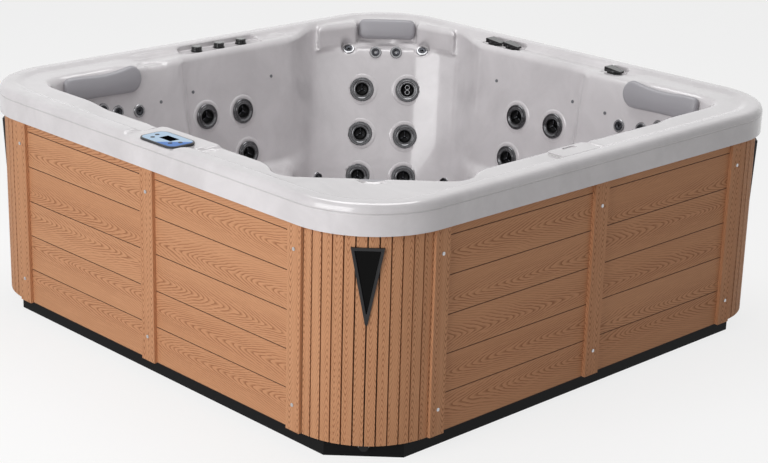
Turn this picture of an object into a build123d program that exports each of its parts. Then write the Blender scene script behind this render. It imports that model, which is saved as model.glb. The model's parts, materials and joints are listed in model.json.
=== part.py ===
"""Square hot tub: a moulded acrylic shell in a boarded cabinet, with its jets, controls, pillows,
skimmer filter, pump, heater and drain. Millimetres, +Z up, origin at the middle of the footprint."""

import os
from math import cos, radians, sin, tan

from build123d import *

os.makedirs("parts", exist_ok=True)

# Overall sizes of the tub
tub_width = 2310
tub_height = 915
overrun = 20
clearance = 0.5
soft_clearance = 0.3
run_clearance = 0.4
sides = (0, 1, 2, 3)
quarter_turn = 90
eighth_turn = 45

# Rim of the shell: an outer lip, a rolled crest and a sunken deck inside it
lip_drop = 108
lip_corner_radius = 330
lip_wall = 7
crest_round = 32
crest_width = 68
deck_depth = 25
brim_depth = 50
shell_wall = 9
lip_bottom = tub_height - lip_drop
deck_height = tub_height - deck_depth
brim_height = tub_height - brim_depth
deck_underside = deck_height - shell_wall
deck_half = tub_width / 2 - crest_width

# Spaces moulded into the shell. A wall is its bearing in degrees, its reach from the middle of
# the tub at brim height, and how far it leans back in degrees. Bearing 0 is +X and 90 is +Y.
bench_reach = 980
step_reach = 940
corner_seat_reach = 946
corner_cut_reach = 1300
wing_reach = 1060
back_seat_reach = 1250
front_seat_reach = 1110
seat_half_width = 400
front_seat_half_width = 340
seat_crease = 235
seat_overlap = 45
back_seat_inner_reach = 230
front_seat_inner_reach = 280
bench_inner_reach = 380
corner_seat_inner_reach = 155
bench_lean = 8
corner_seat_lean = 10
wing_lean = 14
captain_lean = 18
side_lean = 1
footwell_lean = 7
footwell_reach = 495
footwell_cut_reach = 610
footwell_floor = 95
back_seat_floor = 145
front_seat_floor = 240
corner_seat_floor = 300
bench_floor = 345
step_floor = 430
seat_round = 45
captain_round = 80
footwell_round = 90
floor_round = 34

# Headrest of the back seat: a V of two upright panels over a shelf, with the pillow between
panel_bearing_offset = 33.4
panel_reach = 1133.5
panel_lean = 4
panel_half_width = 311
panel_apex_reach = 1320
shelf_height = 790
recess_floor = 805
neck_shelf_reach = 1351
neck_shelf_lean = 55
neck_seat_radius = 31
neck_seat_depth = 80
headrest_inner_reach = 1100
headrest_outer_reach = 1400
shelf_round = 12
pillow_recess_reach = 1335
pillow_recess_half_width = 138
recess_round = 7


def reach_at(wall, height):
    """How far a leaning wall stands from the middle of the tub at a height."""
    return wall[1] - (brim_height - height) * tan(radians(wall[2]))


def outline(walls, height, grow=0):
    """The corners of a moulded space at a height, where its neighbouring walls meet."""
    points = []
    for first, second in zip(walls, walls[1:] + walls[:1]):
        a, b = radians(first[0]), radians(second[0])
        p, q = reach_at(first, height) + grow, reach_at(second, height) + grow
        points.append(((p * sin(b) - q * sin(a)) / sin(b - a), (q * cos(a) - p * cos(b)) / sin(b - a)))
    return points


def on_wall(wall, along, height, proud=0):
    """A plane on a leaning wall: X along it to the right, Y up it and Z into the tub."""
    a, b = radians(wall[0]), radians(wall[2])
    out = Vector(cos(a), sin(a), 0)
    right = Vector(sin(a), -cos(a), 0)
    inward = Vector(-cos(a) * cos(b), -sin(a) * cos(b), sin(b))
    start = out * reach_at(wall, height) + right * along + Vector(0, 0, height)
    return Plane(origin=start + inward * proud, x_dir=right, z_dir=inward)


def pocket(space, high, grow=0):
    """One moulded space as a solid, or that solid grown by the wall around it."""
    walls, floor, corner_round, foot_round = space
    low = floor - grow
    with BuildPart() as room:
        for height in (low, high):
            with BuildSketch(Plane.XY.offset(height)):
                Polygon(*outline(walls, height, grow))
        loft(ruled=True)
        ends = room.faces().sort_by(Axis.Z)
        fillet(room.edges() - ends[0].edges() - ends[-1].edges(), corner_round + grow)
        fillet(room.faces().sort_by(Axis.Z)[0].edges(), foot_round + grow)
    return room.part


left_bench = (180, bench_reach, bench_lean)
right_bench = (90, bench_reach, bench_lean)
front_step = (270, step_reach, bench_lean)
right_step = (0, step_reach, bench_lean)
left_seat = (180, corner_seat_reach, corner_seat_lean)
right_seat = (90, corner_seat_reach, corner_seat_lean)
left_wing = (180, wing_reach, wing_lean)
right_wing = (90, wing_reach, wing_lean)
back_seat = (135, back_seat_reach, captain_lean)
front_seat = (315, front_seat_reach, captain_lean)
pillow_wall = (135, pillow_recess_reach, captain_lean)
neck_shelf = (135, neck_shelf_reach, neck_shelf_lean)
front_footwell = (270, footwell_reach, footwell_lean)

left_bench_walls = [
    (45, seat_overlap - seat_half_width, 0),
    left_bench,
    (270, seat_crease, 0),
    (360, -bench_inner_reach, 0),
]
right_bench_walls = [
    right_bench,
    (225, seat_overlap - seat_half_width, 0),
    (270, -bench_inner_reach, 0),
    (360, seat_crease, 0),
]
left_seat_walls = [
    (0, -corner_seat_inner_reach, 0),
    (90, seat_overlap - seat_crease, 0),
    left_seat,
    (225, corner_cut_reach, captain_lean),
    (270, corner_seat_reach, corner_seat_lean),
]
right_seat_walls = [
    (0, corner_seat_reach, corner_seat_lean),
    (45, corner_cut_reach, captain_lean),
    right_seat,
    (180, seat_overlap - seat_crease, 0),
    (270, -corner_seat_inner_reach, 0),
]
back_seat_walls = [
    (45, seat_half_width, side_lean),
    right_wing,
    back_seat,
    left_wing,
    (225, seat_half_width, side_lean),
    (315, -back_seat_inner_reach, 0),
]
front_seat_walls = [
    (45, front_seat_half_width, side_lean),
    (135, -front_seat_inner_reach, 0),
    (225, front_seat_half_width, side_lean),
    front_seat,
]
front_step_walls = [
    (45, seat_overlap - front_seat_half_width, 0),
    (180, corner_seat_inner_reach + seat_overlap, 0),
    front_step,
]
right_step_walls = [
    right_step,
    (90, corner_seat_inner_reach + seat_overlap, 0),
    (225, seat_overlap - front_seat_half_width, 0),
]
footwell_walls = [
    (bearing, reach, footwell_lean)
    for turn in sides
    for bearing, reach in (
        (turn * quarter_turn, footwell_reach),
        (turn * quarter_turn + eighth_turn, footwell_cut_reach),
    )
]
spaces = [
    (left_bench_walls, bench_floor, seat_round, floor_round),
    (right_bench_walls, bench_floor, seat_round, floor_round),
    (left_seat_walls, corner_seat_floor, seat_round, floor_round),
    (right_seat_walls, corner_seat_floor, seat_round, floor_round),
    (back_seat_walls, back_seat_floor, captain_round, floor_round),
    (front_seat_walls, front_seat_floor, captain_round, floor_round),
    (front_step_walls, step_floor, seat_round, floor_round),
    (right_step_walls, step_floor, seat_round, floor_round),
    (footwell_walls, footwell_floor, footwell_round, floor_round),
]
headrest_walls = [
    (45, panel_half_width, 0),
    (90, wing_reach, 0),
    (135, headrest_outer_reach, 0),
    (180, wing_reach, 0),
    (225, panel_half_width, 0),
    (315, -headrest_inner_reach, 0),
]
panel_walls = [
    (45, panel_half_width, 0),
    (135 - panel_bearing_offset, panel_reach, panel_lean),
    (135, panel_apex_reach, 0),
    (135 + panel_bearing_offset, panel_reach, panel_lean),
    (225, panel_half_width, 0),
    (315, -back_seat_inner_reach, 0),
]
recess_walls = [
    (45, pillow_recess_half_width, 0),
    pillow_wall,
    (225, pillow_recess_half_width, 0),
    (315, -headrest_inner_reach, 0),
]

# Places of the fittings on the walls: the wall, the distance along it and the height
large_jet_places = [
    (left_bench, -118, 621),
    (left_bench, 80, 613),
    (left_bench, 90, 426),
    (back_seat, -105, 614),
    (back_seat, 103, 616),
    (back_seat, -107, 421),
    (back_seat, 97, 414),
    (back_seat, -113, 237),
    (back_seat, 96, 235),
    (right_bench, -116, 616),
    (right_bench, 92, 620),
    (right_bench, -139, 429),
]
small_jet_places = [
    (back_seat, -48, 777),
    (back_seat, 46, 779),
    (left_wing, 490, 240),
    (right_wing, -500, 232),
    (left_seat, -738, 767),
    (left_seat, -669, 745),
    (left_seat, -597, 725),
    (left_seat, -493, 713),
    (right_seat, 471, 707),
    (right_seat, 583, 718),
    (right_seat, 665, 743),
    (right_seat, 738, 767),
    (front_seat, -150, 640),
    (front_seat, -50, 690),
    (front_seat, 50, 690),
    (front_seat, 150, 640),
]
neck_jet_places = [(neck_shelf, -172, 785), (neck_shelf, 165, 785)]
light_places = [
    (left_bench, 257, 739),
    (left_bench, -178, 735),
    (right_bench, -262, 747),
    (right_bench, 178, 743),
    (left_seat, -377, 732),
    (right_seat, 387, 743),
    (left_wing, 545, 730),
    (right_wing, -572, 735),
    (front_step, 60, 730),
    (front_step, -300, 730),
    (right_step, -60, 730),
    (right_step, 300, 730),
]

large_jet_names = (
    [f"left_jet_{number}" for number in (1, 2, 3)]
    + [f"back_jet_{number}" for number in (1, 2, 3, 4, 5, 6)]
    + [f"right_jet_{number}" for number in (1, 2, 3)]
)
spinner_names = ("back_jet_1", "back_jet_2")

# Large jets
jet_ring_radius = 54
jet_ring_proud = 7
jet_recess_radius = 45.5
jet_recess_depth = 5
jet_barrel_radius = 36
jet_barrel_length = 58
jet_bore_radius = 30
jet_bore_length = 46
jet_nut_radius = 48
jet_nut_length = 10
jet_pad_radius = 69
jet_pad_proud = 2.5
jet_round = 2
face_radius = 45
face_thickness = 7
face_stem_radius = 28
face_stem_length = 38
face_dish_radius = 36
face_dish_depth = 4
nozzle_radius = 9
nozzle_offset = 15
nozzle_depth = 24
nozzle_count = 3
spinner_nozzle_radius = 11
spinner_nozzle_offset = 14
spinner_nozzle_count = 2
nut_sides = 6

# Small jets and waterline lights
small_jet_ring_radius = 27
small_jet_ring_proud = 5
small_jet_barrel_radius = 17
small_jet_barrel_length = 44
small_jet_dish_radius = 19
small_jet_nozzle_radius = 7
small_jet_nozzle_depth = 16
light_lens_radius = 7
light_lens_proud = 2
light_barrel_radius = 5
light_barrel_length = 22

# Air controls and diverters on the sunken trays
tray_depth = 5
tray_round = 24
air_tray_x = -1047
air_tray_y = 40
air_tray_width = 72
air_tray_length = 430
diverter_y = 1040
diverter_tray_y = 1045
diverter_tray_width = 80
diverter_trays = ((-298, 210), (330, 100))
air_knob_ys = (-90, 32, 154)
diverter_xs = (-350, -247, 330)
tray_height = deck_height - tray_depth
spindle_radius = 5
spindle_height = 12
air_flange_radius = 25
air_flange_thickness = 3
air_barrel_radius = 18
air_barrel_length = 90
knob_radius = 22.5
knob_height = 19
knob_round = 5
knob_rib_count = 12
knob_rib_radius = 2
knob_rib_start = 15
diverter_flange_radius = 31
diverter_flange_thickness = 6
diverter_barrel_radius = 25
diverter_barrel_length = 120
lever_hub_radius = 27
lever_hub_height = 9
lever_reach = 40
lever_tail = 34
lever_nose_width = 26
lever_tail_width = 50
lever_height = 20
lever_nose_height = 8

# Control panel on its raised pad
pad_x = 25
pad_width = 330
pad_inner_y = -950
pad_outer_y = -1120
pad_drop = 12
pad_round = 20
panel_x = 46
panel_y = -1080
panel_width = 200
panel_depth = 122
panel_thickness = 7
panel_round = 34
panel_neck_width = 150
panel_neck_depth = 78
panel_neck_drop = 20
overlay_inset = 7
overlay_thickness = 1.5
overlay_sink = 1
screen_width = 66
screen_depth = 40
screen_thickness = 2
screen_shift_y = 8
screen_inset = 0.3
panel_edge = 2
key_radius = 8
key_height = 5
key_proud = 1.4
key_travel = 1
key_edge = 0.8
key_shares_x = (-0.36, -0.27, 0.27, 0.36)
key_shares_y = (0.05, -0.25, -0.25, 0.05)
key_names = ("warmer_key", "cooler_key", "jets_key", "light_key")
pad_height = tub_height - pad_drop

shelf_pad_x = 1030
shelf_pad_y = 396
shelf_pad_width = 110
shelf_pad_length = 608
shelf_pad_height = 900

# Skimmer filter beside the right step
filter_x = 1014
filter_y = -15
filter_width = 80
filter_length = 190
filter_bottom = 430
filter_wall = 4
filter_round = 12
filter_flange_width = 88
filter_flange_length = 198
filter_flange_thickness = 3
filter_flange_round = 16
filter_spigot_length = 10
mouth_width = 104
mouth_height = 90
mouth_middle = 746
mouth_margin = 14
mouth_flange_thickness = 5
mouth_length = 62
mouth_round = 8
cartridge_radius = 31
cartridge_bottom = 434.5
cartridge_length = 240
cartridge_spacing = 90
cartridge_pleat_count = 24
cartridge_pleat_width = 3.2
cartridge_pleat_depth = 7
cartridge_core_radius = 12
cartridge_cap_radius = 34
cartridge_cap_thickness = 12
lid_thickness = 5
lid_notch_radius = 11
lid_notch_length = 70
lid_notch_depth = 3
weir_width = 98
weir_height = 72
weir_thickness = 5
weir_pin_radius = 3
weir_pin_length = 2.5
weir_pivot_inset = 9
weir_pivot_height = 708
weir_float_radius = 6

# Pillows
pillow_thickness = 34
pillow_shoulder = 0.82
side_pillow_centre = 660
side_pillow_height = 847
side_pillow_half_length = 186
back_pillow_height = 860
back_pillow_half_length = 130
front_pillow_height = 826
pillow_edge = 9
side_pillow_station_shares = (-1, -0.8, -0.35, 0.1, 0.5, 0.85, 1)
side_pillow_half_heights = (36, 47, 48, 45, 52, 56, 34)
side_pillow_drops = (0, 0, -2, -4, -2, 4, 6)
back_pillow_station_shares = (-1, -0.82, -0.4, 0, 0.4, 0.82, 1)
back_pillow_half_heights = (34, 44, 46, 45, 46, 44, 34)
back_pillow_drops = (0, 0, 0, 0, 0, 0, 0)

# Cabinet: base pan, timber frame, boards, posts, corner slats
pan_height = 68
pan_wall = 5
pan_inset = 37
pan_chamfer = 191
pan_flange_width = 45
lip_gap = 3
post_thickness = 14
board_thickness = 12
board_count = 5
board_pitch = 140
board_groove = 1.5
skirt_top = lip_bottom + 28
post_place = 801
end_post_width = 67
middle_post_width = 73
post_round = 3
board_end_gap = 6
stud_depth = 45
stud_width = 60
rail_height = 38
slat_count = 12
slat_gap = 5
slat_thickness = 10
slat_proud = 2
backing_thickness = 3
screw_heights = (164, 717)
screw_head_radius = 6.5
screw_head_thickness = 3
screw_radius = 2.5
screw_grip = 40
screw_slot_width = 1.6
screw_slot_depth = 1.2
screw_gap = 0.4

post_face = tub_width / 2 - lip_wall - lip_gap
board_face = post_face - post_thickness
stud_face = board_face - board_thickness
rail_middle = stud_face - stud_depth / 2
pan_half = board_face - pan_inset
corner_middle = post_place + end_post_width / 2
slat_face_radius = board_face + slat_proud - corner_middle
plate_radius = stud_face - corner_middle
rail_bottoms = (pan_height, deck_underside - rail_height)

# Corner lights
corner_light_top = 764
corner_light_width = 111
corner_light_length = 265
corner_light_frame = 10
corner_light_depth = 26
corner_light_proud = 5
corner_light_recess = 14
tip_half_width = 4
lens_tip_half_width = 1.5
light_gap = 0.3
lens_thickness = 4

# Pump, heater, control box and plumbing
pump_y = -800
pump_height = 190
motor_start = -270
motor_end = -10
motor_radius = 76
motor_flange_radius = 60
motor_flange_thickness = 10
motor_foot_width = 120
motor_foot_length = 180
motor_foot_height = 130
motor_fin_count = 24
motor_fin_height = 5
motor_fin_width = 4
motor_box_width = 70
motor_box_length = 90
motor_box_reach = 102
volute_radius = 98
volute_length = 86
volute_wall = 10
volute_inlet_length = 38
volute_outlet_top = 320
pipe_bore_radius = 25
pipe_radius = 30
pipe_bend = 45
shaft_radius = 9
shaft_back = -40
impeller_radius = 80
impeller_thickness = 8
impeller_vane_count = 6
impeller_vane_width = 6
impeller_vane_height = 16
impeller_start = 8
impeller_vane_angle = 35
inlet_pipe_x = 210
inlet_pipe_y = -620
cover_spacing = 160
cover_run = 60
cover_pipe_y = -560
filter_pipe_x = 815
outlet_height = 375
heater_y = -985
heater_start = 300
heater_end = 620
heater_radius = 34
heater_collar_radius = 42
heater_collar_length = 22
heater_box_width = 60
heater_box_length = 160
heater_box_height = 52
manifold_x = 760
manifold_bottom = 560
manifold_top = 740
manifold_radius = 46
manifold_wall = 5
manifold_stub_radius = 13
manifold_stub_bore = 9
manifold_stub_reach = 78
manifold_stub_count = 4
box_x = -930
box_y = 20
box_width = 200
box_length = 280
box_height = 260
box_wall = 4
box_lid_thickness = 8
box_round = 10
suction_radius = 58
suction_rim_thickness = 6
suction_base_thickness = 3
suction_dome_radius = 46
suction_dome_height = 12
suction_wall = 3
suction_slot_count = 12
suction_slot_width = 5
suction_slot_length = 22
suction_slot_reach = 29
suction_barrel_length = 30
plinth_width = 560
plinth_round = 60
drain_reach = (pan_half * 2 - pan_chamfer) / 2**0.5
drain_height = 42
drain_bearing = 315
drain_tube_radius = 12
drain_bore_radius = 9
drain_flange_radius = 19
drain_flange_thickness = 4
drain_tube_length = 24
drain_cap_radius = 17
drain_cap_length = 16
drain_cap_wall = 3
drain_grip_count = 8
drain_grip_radius = 3
gland_y = 20
gland_height = 36
gland_radius = 15
gland_bore_radius = 9
gland_thread_radius = 12
gland_hex_length = 12
gland_dome_length = 10
gland_inner_length = 12
gland_dome_share = 0.8


def flare(space, grow=0):
    """The sloping edge where a moulded space meets the deck, or that edge grown by its wall."""
    with BuildPart() as edge:
        for height, wider in ((brim_height, 0), (deck_height, deck_height - brim_height)):
            with BuildSketch(Plane.XY.offset(height)):
                Polygon(*outline(space[0], height, grow + wider))
        loft(ruled=True)
    return edge.part


def round_plate(wide, long, corner, low, high, x=0, y=0):
    """A flat plate with rounded corners between two heights."""
    with BuildPart() as plate:
        with BuildSketch(Plane.XY.offset(low)):
            with Locations((x, y)):
                RectangleRounded(wide, long, corner)
        extrude(amount=high - low)
    return plate.part


def rod(plane, radius, start, end):
    """A round bar along a plane's own Z from one depth to another."""
    with BuildPart() as bar:
        with BuildSketch(plane.offset(start)):
            Circle(radius)
        extrude(amount=end - start)
    return bar.part


def straight(start, end, radius):
    """A round bar between two points."""
    return rod(Plane(origin=start, z_dir=end - start), radius, 0, (end - start).length)


def run(points, radius):
    """A round bar that follows a bent line."""
    with BuildPart() as bar:
        with BuildLine():
            line = FilletPolyline(*points, radius=pipe_bend)
        with BuildSketch(Plane(origin=line @ 0, z_dir=line % 0)):
            Circle(radius)
        sweep(path=line)
    return bar.part


# Moulded acrylic shell
flared_spaces = [space for space in spaces if space[0] not in (back_seat_walls, footwell_walls)]
open_top = tub_height + overrun
large_jet_planes = [on_wall(*place) for place in large_jet_places]
small_jet_planes = [on_wall(*place) for place in small_jet_places]
neck_jet_planes = [on_wall(*place) for place in neck_jet_places]
light_planes = [on_wall(*place) for place in light_places]
suction_places = [(front_footwell, -inlet_pipe_x + gap, pump_height) for gap in (0, cover_spacing)]
suction_planes = [on_wall(*place) for place in suction_places]
mouth_plane = on_wall((0, step_reach, bench_lean), -filter_y, mouth_middle)
jet_hole_radius = jet_barrel_radius + clearance
small_jet_hole_radius = small_jet_barrel_radius + clearance
light_hole_radius = light_barrel_radius + clearance
shell_cut_depth = shell_wall * 3

pads = [rod(plane, jet_pad_radius, -shell_wall, jet_pad_proud) for plane in large_jet_planes]
neck_seats = [rod(plane, neck_seat_radius + shell_wall, -shell_wall, 0) for plane in neck_jet_planes]
neck_cuts = [rod(plane, neck_seat_radius, 0, neck_seat_depth) for plane in neck_jet_planes]
holes = (
    [rod(plane, jet_hole_radius, -shell_cut_depth, shell_cut_depth) for plane in large_jet_planes]
    + [rod(plane, small_jet_hole_radius, -shell_cut_depth, shell_cut_depth) for plane in small_jet_planes]
    + [rod(plane, small_jet_hole_radius, -shell_cut_depth, shell_wall) for plane in neck_jet_planes]
    + [rod(plane, light_hole_radius, -shell_cut_depth, shell_wall) for plane in light_planes]
    + [rod(plane, pipe_radius + clearance, -shell_cut_depth, shell_cut_depth) for plane in suction_planes]
)
trays = [
    round_plate(air_tray_width, air_tray_length, tray_round, tray_height, open_top, air_tray_x, air_tray_y)
] + [
    round_plate(length, diverter_tray_width, tray_round, tray_height, open_top, x, diverter_tray_y)
    for x, length in diverter_trays
]
valve_holes = [
    rod(Plane((air_tray_x, y, tray_height)), air_barrel_radius + clearance, -tub_height / 2, shell_wall)
    for y in air_knob_ys
] + [
    rod(Plane((x, diverter_y, tray_height)), diverter_barrel_radius + clearance, -tub_height / 2, shell_wall)
    for x in diverter_xs
]
valve_blocks = [
    round_plate(
        air_tray_width,
        air_tray_length,
        tray_round,
        deck_underside - tray_depth,
        deck_height,
        air_tray_x,
        air_tray_y,
    )
]
pad_middle_y = (pad_inner_y + pad_outer_y) / 2
pad_depth = pad_inner_y - pad_outer_y
control_pad = round_plate(pad_width, pad_depth, pad_round, deck_underside, pad_height, pad_x, pad_middle_y)
control_cut = round_plate(
    pad_width, pad_depth * 2, pad_round, pad_height, open_top, pad_x, pad_inner_y - pad_depth
)
shelf_pad = round_plate(
    shelf_pad_width, shelf_pad_length, tray_round, deck_underside, shelf_pad_height, shelf_pad_x, shelf_pad_y
)
panel_hole = round_plate(
    panel_neck_width + clearance * 2,
    panel_neck_depth + clearance * 2,
    panel_round / 2,
    deck_underside - overrun,
    open_top,
    panel_x,
    panel_y,
)
filter_hole = round_plate(
    filter_width + clearance * 2,
    filter_length + clearance * 2,
    filter_round + clearance,
    deck_underside - overrun,
    open_top,
    filter_x,
    filter_y,
)
headrest = pocket((headrest_walls, shelf_height, seat_round / 2, shelf_round / 2), deck_height)
headrest_under = pocket(
    (headrest_walls, shelf_height - shell_wall, seat_round / 2, shelf_round / 2), deck_height
)
headrest_cut = pocket((panel_walls, shelf_height, shelf_round, shelf_round / 2), open_top)
recess_cut = pocket((recess_walls, recess_floor, recess_round, shelf_round / 2), open_top)

with BuildPart() as shell:
    with BuildSketch(Plane.XY.offset(lip_bottom)):
        RectangleRounded(tub_width, tub_width, lip_corner_radius)
    extrude(amount=lip_drop)
    fillet(shell.faces().sort_by(Axis.Z)[-1].edges(), crest_round)
    with BuildSketch(Plane.XY.offset(lip_bottom)):
        RectangleRounded(tub_width - lip_wall * 2, tub_width - lip_wall * 2, lip_corner_radius - lip_wall)
    extrude(amount=deck_underside - lip_bottom, mode=Mode.SUBTRACT)
    add(
        [pocket(space, deck_height, shell_wall) for space in spaces]
        + [flare(space, shell_wall) for space in flared_spaces]
        + [headrest_under]
    )
    with BuildSketch(Plane.XY.offset(deck_height)):
        deck_side = (deck_half - deck_depth) * 2
        RectangleRounded(deck_side, deck_side, lip_corner_radius - crest_width - deck_depth)
    extrude(amount=deck_depth + overrun, taper=-eighth_turn, mode=Mode.SUBTRACT)
    add(
        [pocket(space, open_top) for space in spaces] + [flare(space) for space in flared_spaces],
        mode=Mode.SUBTRACT,
    )
    add([headrest] + pads + neck_seats + valve_blocks + [control_pad, shelf_pad])
    add(
        [headrest_cut, recess_cut, control_cut, panel_hole, filter_hole]
        + trays
        + valve_holes
        + neck_cuts
        + holes,
        mode=Mode.SUBTRACT,
    )
    with BuildSketch(mouth_plane.offset(-shell_cut_depth)):
        RectangleRounded(
            mouth_width + filter_wall * 2 + clearance * 2,
            mouth_height + filter_wall * 2 + clearance * 2,
            mouth_round + filter_wall,
        )
    extrude(amount=shell_cut_depth * 2, mode=Mode.SUBTRACT)
shell.part.label = "shell"
export_step(shell.part, "parts/shell.step")


# Large jets: a body through the wall, a lock nut behind it and a face that turns in it
def jet_body(plane):
    with BuildPart() as body:
        with BuildSketch(plane):
            Circle(jet_ring_radius)
        extrude(amount=jet_ring_proud)
        chamfer(body.faces().sort_by(Axis(plane.origin, plane.z_dir))[-1].edges(), jet_round)
        with BuildSketch(plane):
            Circle(jet_barrel_radius)
        extrude(amount=-jet_barrel_length)
        with BuildSketch(plane.offset(jet_ring_proud)):
            Circle(jet_recess_radius)
        extrude(amount=-jet_recess_depth, mode=Mode.SUBTRACT)
        with BuildSketch(plane.offset(jet_ring_proud)):
            Circle(jet_bore_radius)
        extrude(amount=-jet_bore_length, mode=Mode.SUBTRACT)
    return body.part


def jet_nut(plane):
    behind = plane.offset(-shell_wall - jet_pad_proud - clearance)
    with BuildPart() as nut:
        with BuildSketch(behind):
            RegularPolygon(jet_nut_radius, nut_sides)
            Circle(jet_barrel_radius + clearance, mode=Mode.SUBTRACT)
        extrude(amount=-jet_nut_length)
    return nut.part


def jet_face(plane, count, offset, radius):
    seat = plane.offset(jet_ring_proud - jet_recess_depth + run_clearance)
    with BuildPart() as face:
        with BuildSketch(seat):
            Circle(face_radius)
        extrude(amount=face_thickness)
        with BuildSketch(seat):
            Circle(face_stem_radius)
        extrude(amount=-face_stem_length)
        front = seat.offset(face_thickness)
        with BuildSketch(front):
            Circle(face_dish_radius)
        extrude(amount=-face_dish_depth, taper=eighth_turn, mode=Mode.SUBTRACT)
        with BuildSketch(front):
            with PolarLocations(offset, count, start_angle=quarter_turn):
                Circle(radius)
        extrude(amount=-nozzle_depth, mode=Mode.SUBTRACT)
    return face.part


proud_planes = [plane.offset(jet_pad_proud) for plane in large_jet_planes]
with BuildPart() as large_jet_bodies:
    add([jet_body(plane) for plane in proud_planes])
large_jet_bodies.part.label = "large_jet_bodies"
export_step(large_jet_bodies.part, "parts/large_jet_bodies.step")

with BuildPart() as jet_lock_nuts:
    add([jet_nut(plane) for plane in proud_planes])
jet_lock_nuts.part.label = "jet_lock_nuts"
export_step(jet_lock_nuts.part, "parts/jet_lock_nuts.step")

for name, plane in zip(large_jet_names, proud_planes):
    spins = name in spinner_names
    with BuildPart() as large_jet_face:
        if spins:
            add(jet_face(plane, spinner_nozzle_count, spinner_nozzle_offset, spinner_nozzle_radius))
        else:
            add(jet_face(plane, nozzle_count, nozzle_offset, nozzle_radius))
    large_jet_face.part.label = name
    export_step(large_jet_face.part, f"parts/{name}.step")


# Small jets and waterline lights, pressed into the wall
def small_jet(plane):
    with BuildPart() as jet:
        with BuildSketch(plane):
            Circle(small_jet_ring_radius)
        extrude(amount=small_jet_ring_proud)
        chamfer(jet.faces().sort_by(Axis(plane.origin, plane.z_dir))[-1].edges(), jet_round)
        with BuildSketch(plane):
            Circle(small_jet_barrel_radius)
        extrude(amount=-small_jet_barrel_length)
        front = plane.offset(small_jet_ring_proud)
        with BuildSketch(front):
            Circle(small_jet_dish_radius)
        extrude(amount=-small_jet_ring_proud / 2, taper=eighth_turn / 2, mode=Mode.SUBTRACT)
        with BuildSketch(front):
            Circle(small_jet_nozzle_radius)
        extrude(amount=-small_jet_nozzle_depth, mode=Mode.SUBTRACT)
    return jet.part


def waterline_light(plane):
    with BuildPart() as light:
        with BuildSketch(plane):
            Circle(light_lens_radius)
        extrude(amount=light_lens_proud)
        with BuildSketch(plane):
            Circle(light_barrel_radius)
        extrude(amount=-light_barrel_length)
    return light.part


with BuildPart() as small_jets:
    add([small_jet(plane) for plane in small_jet_planes + neck_jet_planes])
small_jets.part.label = "small_jets"
export_step(small_jets.part, "parts/small_jets.step")

with BuildPart() as waterline_lights:
    add([waterline_light(plane) for plane in light_planes])
waterline_lights.part.label = "waterline_lights"
export_step(waterline_lights.part, "parts/waterline_lights.step")


# Air controls: a valve body under the tray and a knob that turns on its spindle
air_planes = [Plane((air_tray_x, y, tray_height)) for y in air_knob_ys]
diverter_planes = [Plane((x, diverter_y, tray_height)) for x in diverter_xs]


def valve(plane, flange_radius, flange_thickness, barrel_radius, barrel_length):
    with BuildPart() as body:
        add(rod(plane, flange_radius, 0, flange_thickness))
        add(rod(plane, barrel_radius, -barrel_length, 0))
        add(rod(plane, spindle_radius, flange_thickness, spindle_height))
    return body.part


with BuildPart() as valve_bodies:
    for plane in air_planes:
        add(valve(plane, air_flange_radius, air_flange_thickness, air_barrel_radius, air_barrel_length))
    for plane in diverter_planes:
        add(
            valve(
                plane,
                diverter_flange_radius,
                diverter_flange_thickness,
                diverter_barrel_radius,
                diverter_barrel_length,
            )
        )
valve_bodies.part.label = "valve_bodies"
export_step(valve_bodies.part, "parts/valve_bodies.step")

for number, plane in enumerate(air_planes, 1):
    seat = plane.offset(air_flange_thickness + run_clearance)
    with BuildPart() as air_knob:
        with BuildSketch(seat):
            Circle(knob_radius)
        extrude(amount=knob_height)
        fillet(air_knob.faces().sort_by(Axis.Z)[-1].edges(), knob_round)
        with BuildSketch(seat):
            with PolarLocations(knob_radius, knob_rib_count, start_angle=knob_rib_start):
                Circle(knob_rib_radius)
        extrude(amount=knob_height, mode=Mode.SUBTRACT)
        with BuildSketch(seat):
            Circle(spindle_radius + run_clearance)
        extrude(amount=spindle_height, mode=Mode.SUBTRACT)
    air_knob.part.label = f"air_knob_{number}"
    export_step(air_knob.part, f"parts/air_knob_{number}.step")

# Diverter levers: a hub with a wedge that points out of it
for number, plane in enumerate(diverter_planes, 1):
    seat = plane.offset(diverter_flange_thickness + run_clearance)
    with BuildPart() as diverter_lever:
        with BuildSketch(seat):
            Circle(lever_hub_radius)
        extrude(amount=lever_hub_height)
        with BuildSketch(seat):
            Polygon(
                (-lever_tail, -lever_tail_width / 2),
                (lever_reach, -lever_nose_width / 2),
                (lever_reach, lever_nose_width / 2),
                (-lever_tail, lever_tail_width / 2),
                align=None,
            )
        extrude(amount=lever_height)
        with BuildSketch(Plane.XZ.offset(-plane.origin.Y)):
            with Locations((plane.origin.X, seat.origin.Z)):
                Polygon(
                    (-lever_tail, lever_height),
                    (lever_reach, lever_nose_height),
                    (lever_reach, lever_height + overrun),
                    (-lever_tail, lever_height + overrun),
                    align=None,
                )
        extrude(amount=lever_tail_width, both=True, mode=Mode.SUBTRACT)
        with BuildSketch(seat):
            Circle(spindle_radius + run_clearance)
        extrude(amount=spindle_height, mode=Mode.SUBTRACT)
    diverter_lever.part.label = f"diverter_lever_{number}"
    export_step(diverter_lever.part, f"parts/diverter_lever_{number}.step")

# Control panel: housing, printed overlay, screen and four keys
overlay_width = panel_width - overlay_inset * 2
overlay_depth = panel_depth - overlay_inset * 2
panel_top = pad_height + panel_thickness
overlay_bottom = panel_top - overlay_sink
overlay_top = overlay_bottom + overlay_thickness
key_top = overlay_top + key_proud
key_bottom = key_top - key_height
screen_y = panel_y + screen_shift_y
key_places = [
    (panel_x + overlay_width * across, panel_y + overlay_depth * up)
    for across, up in zip(key_shares_x, key_shares_y)
]

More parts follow.
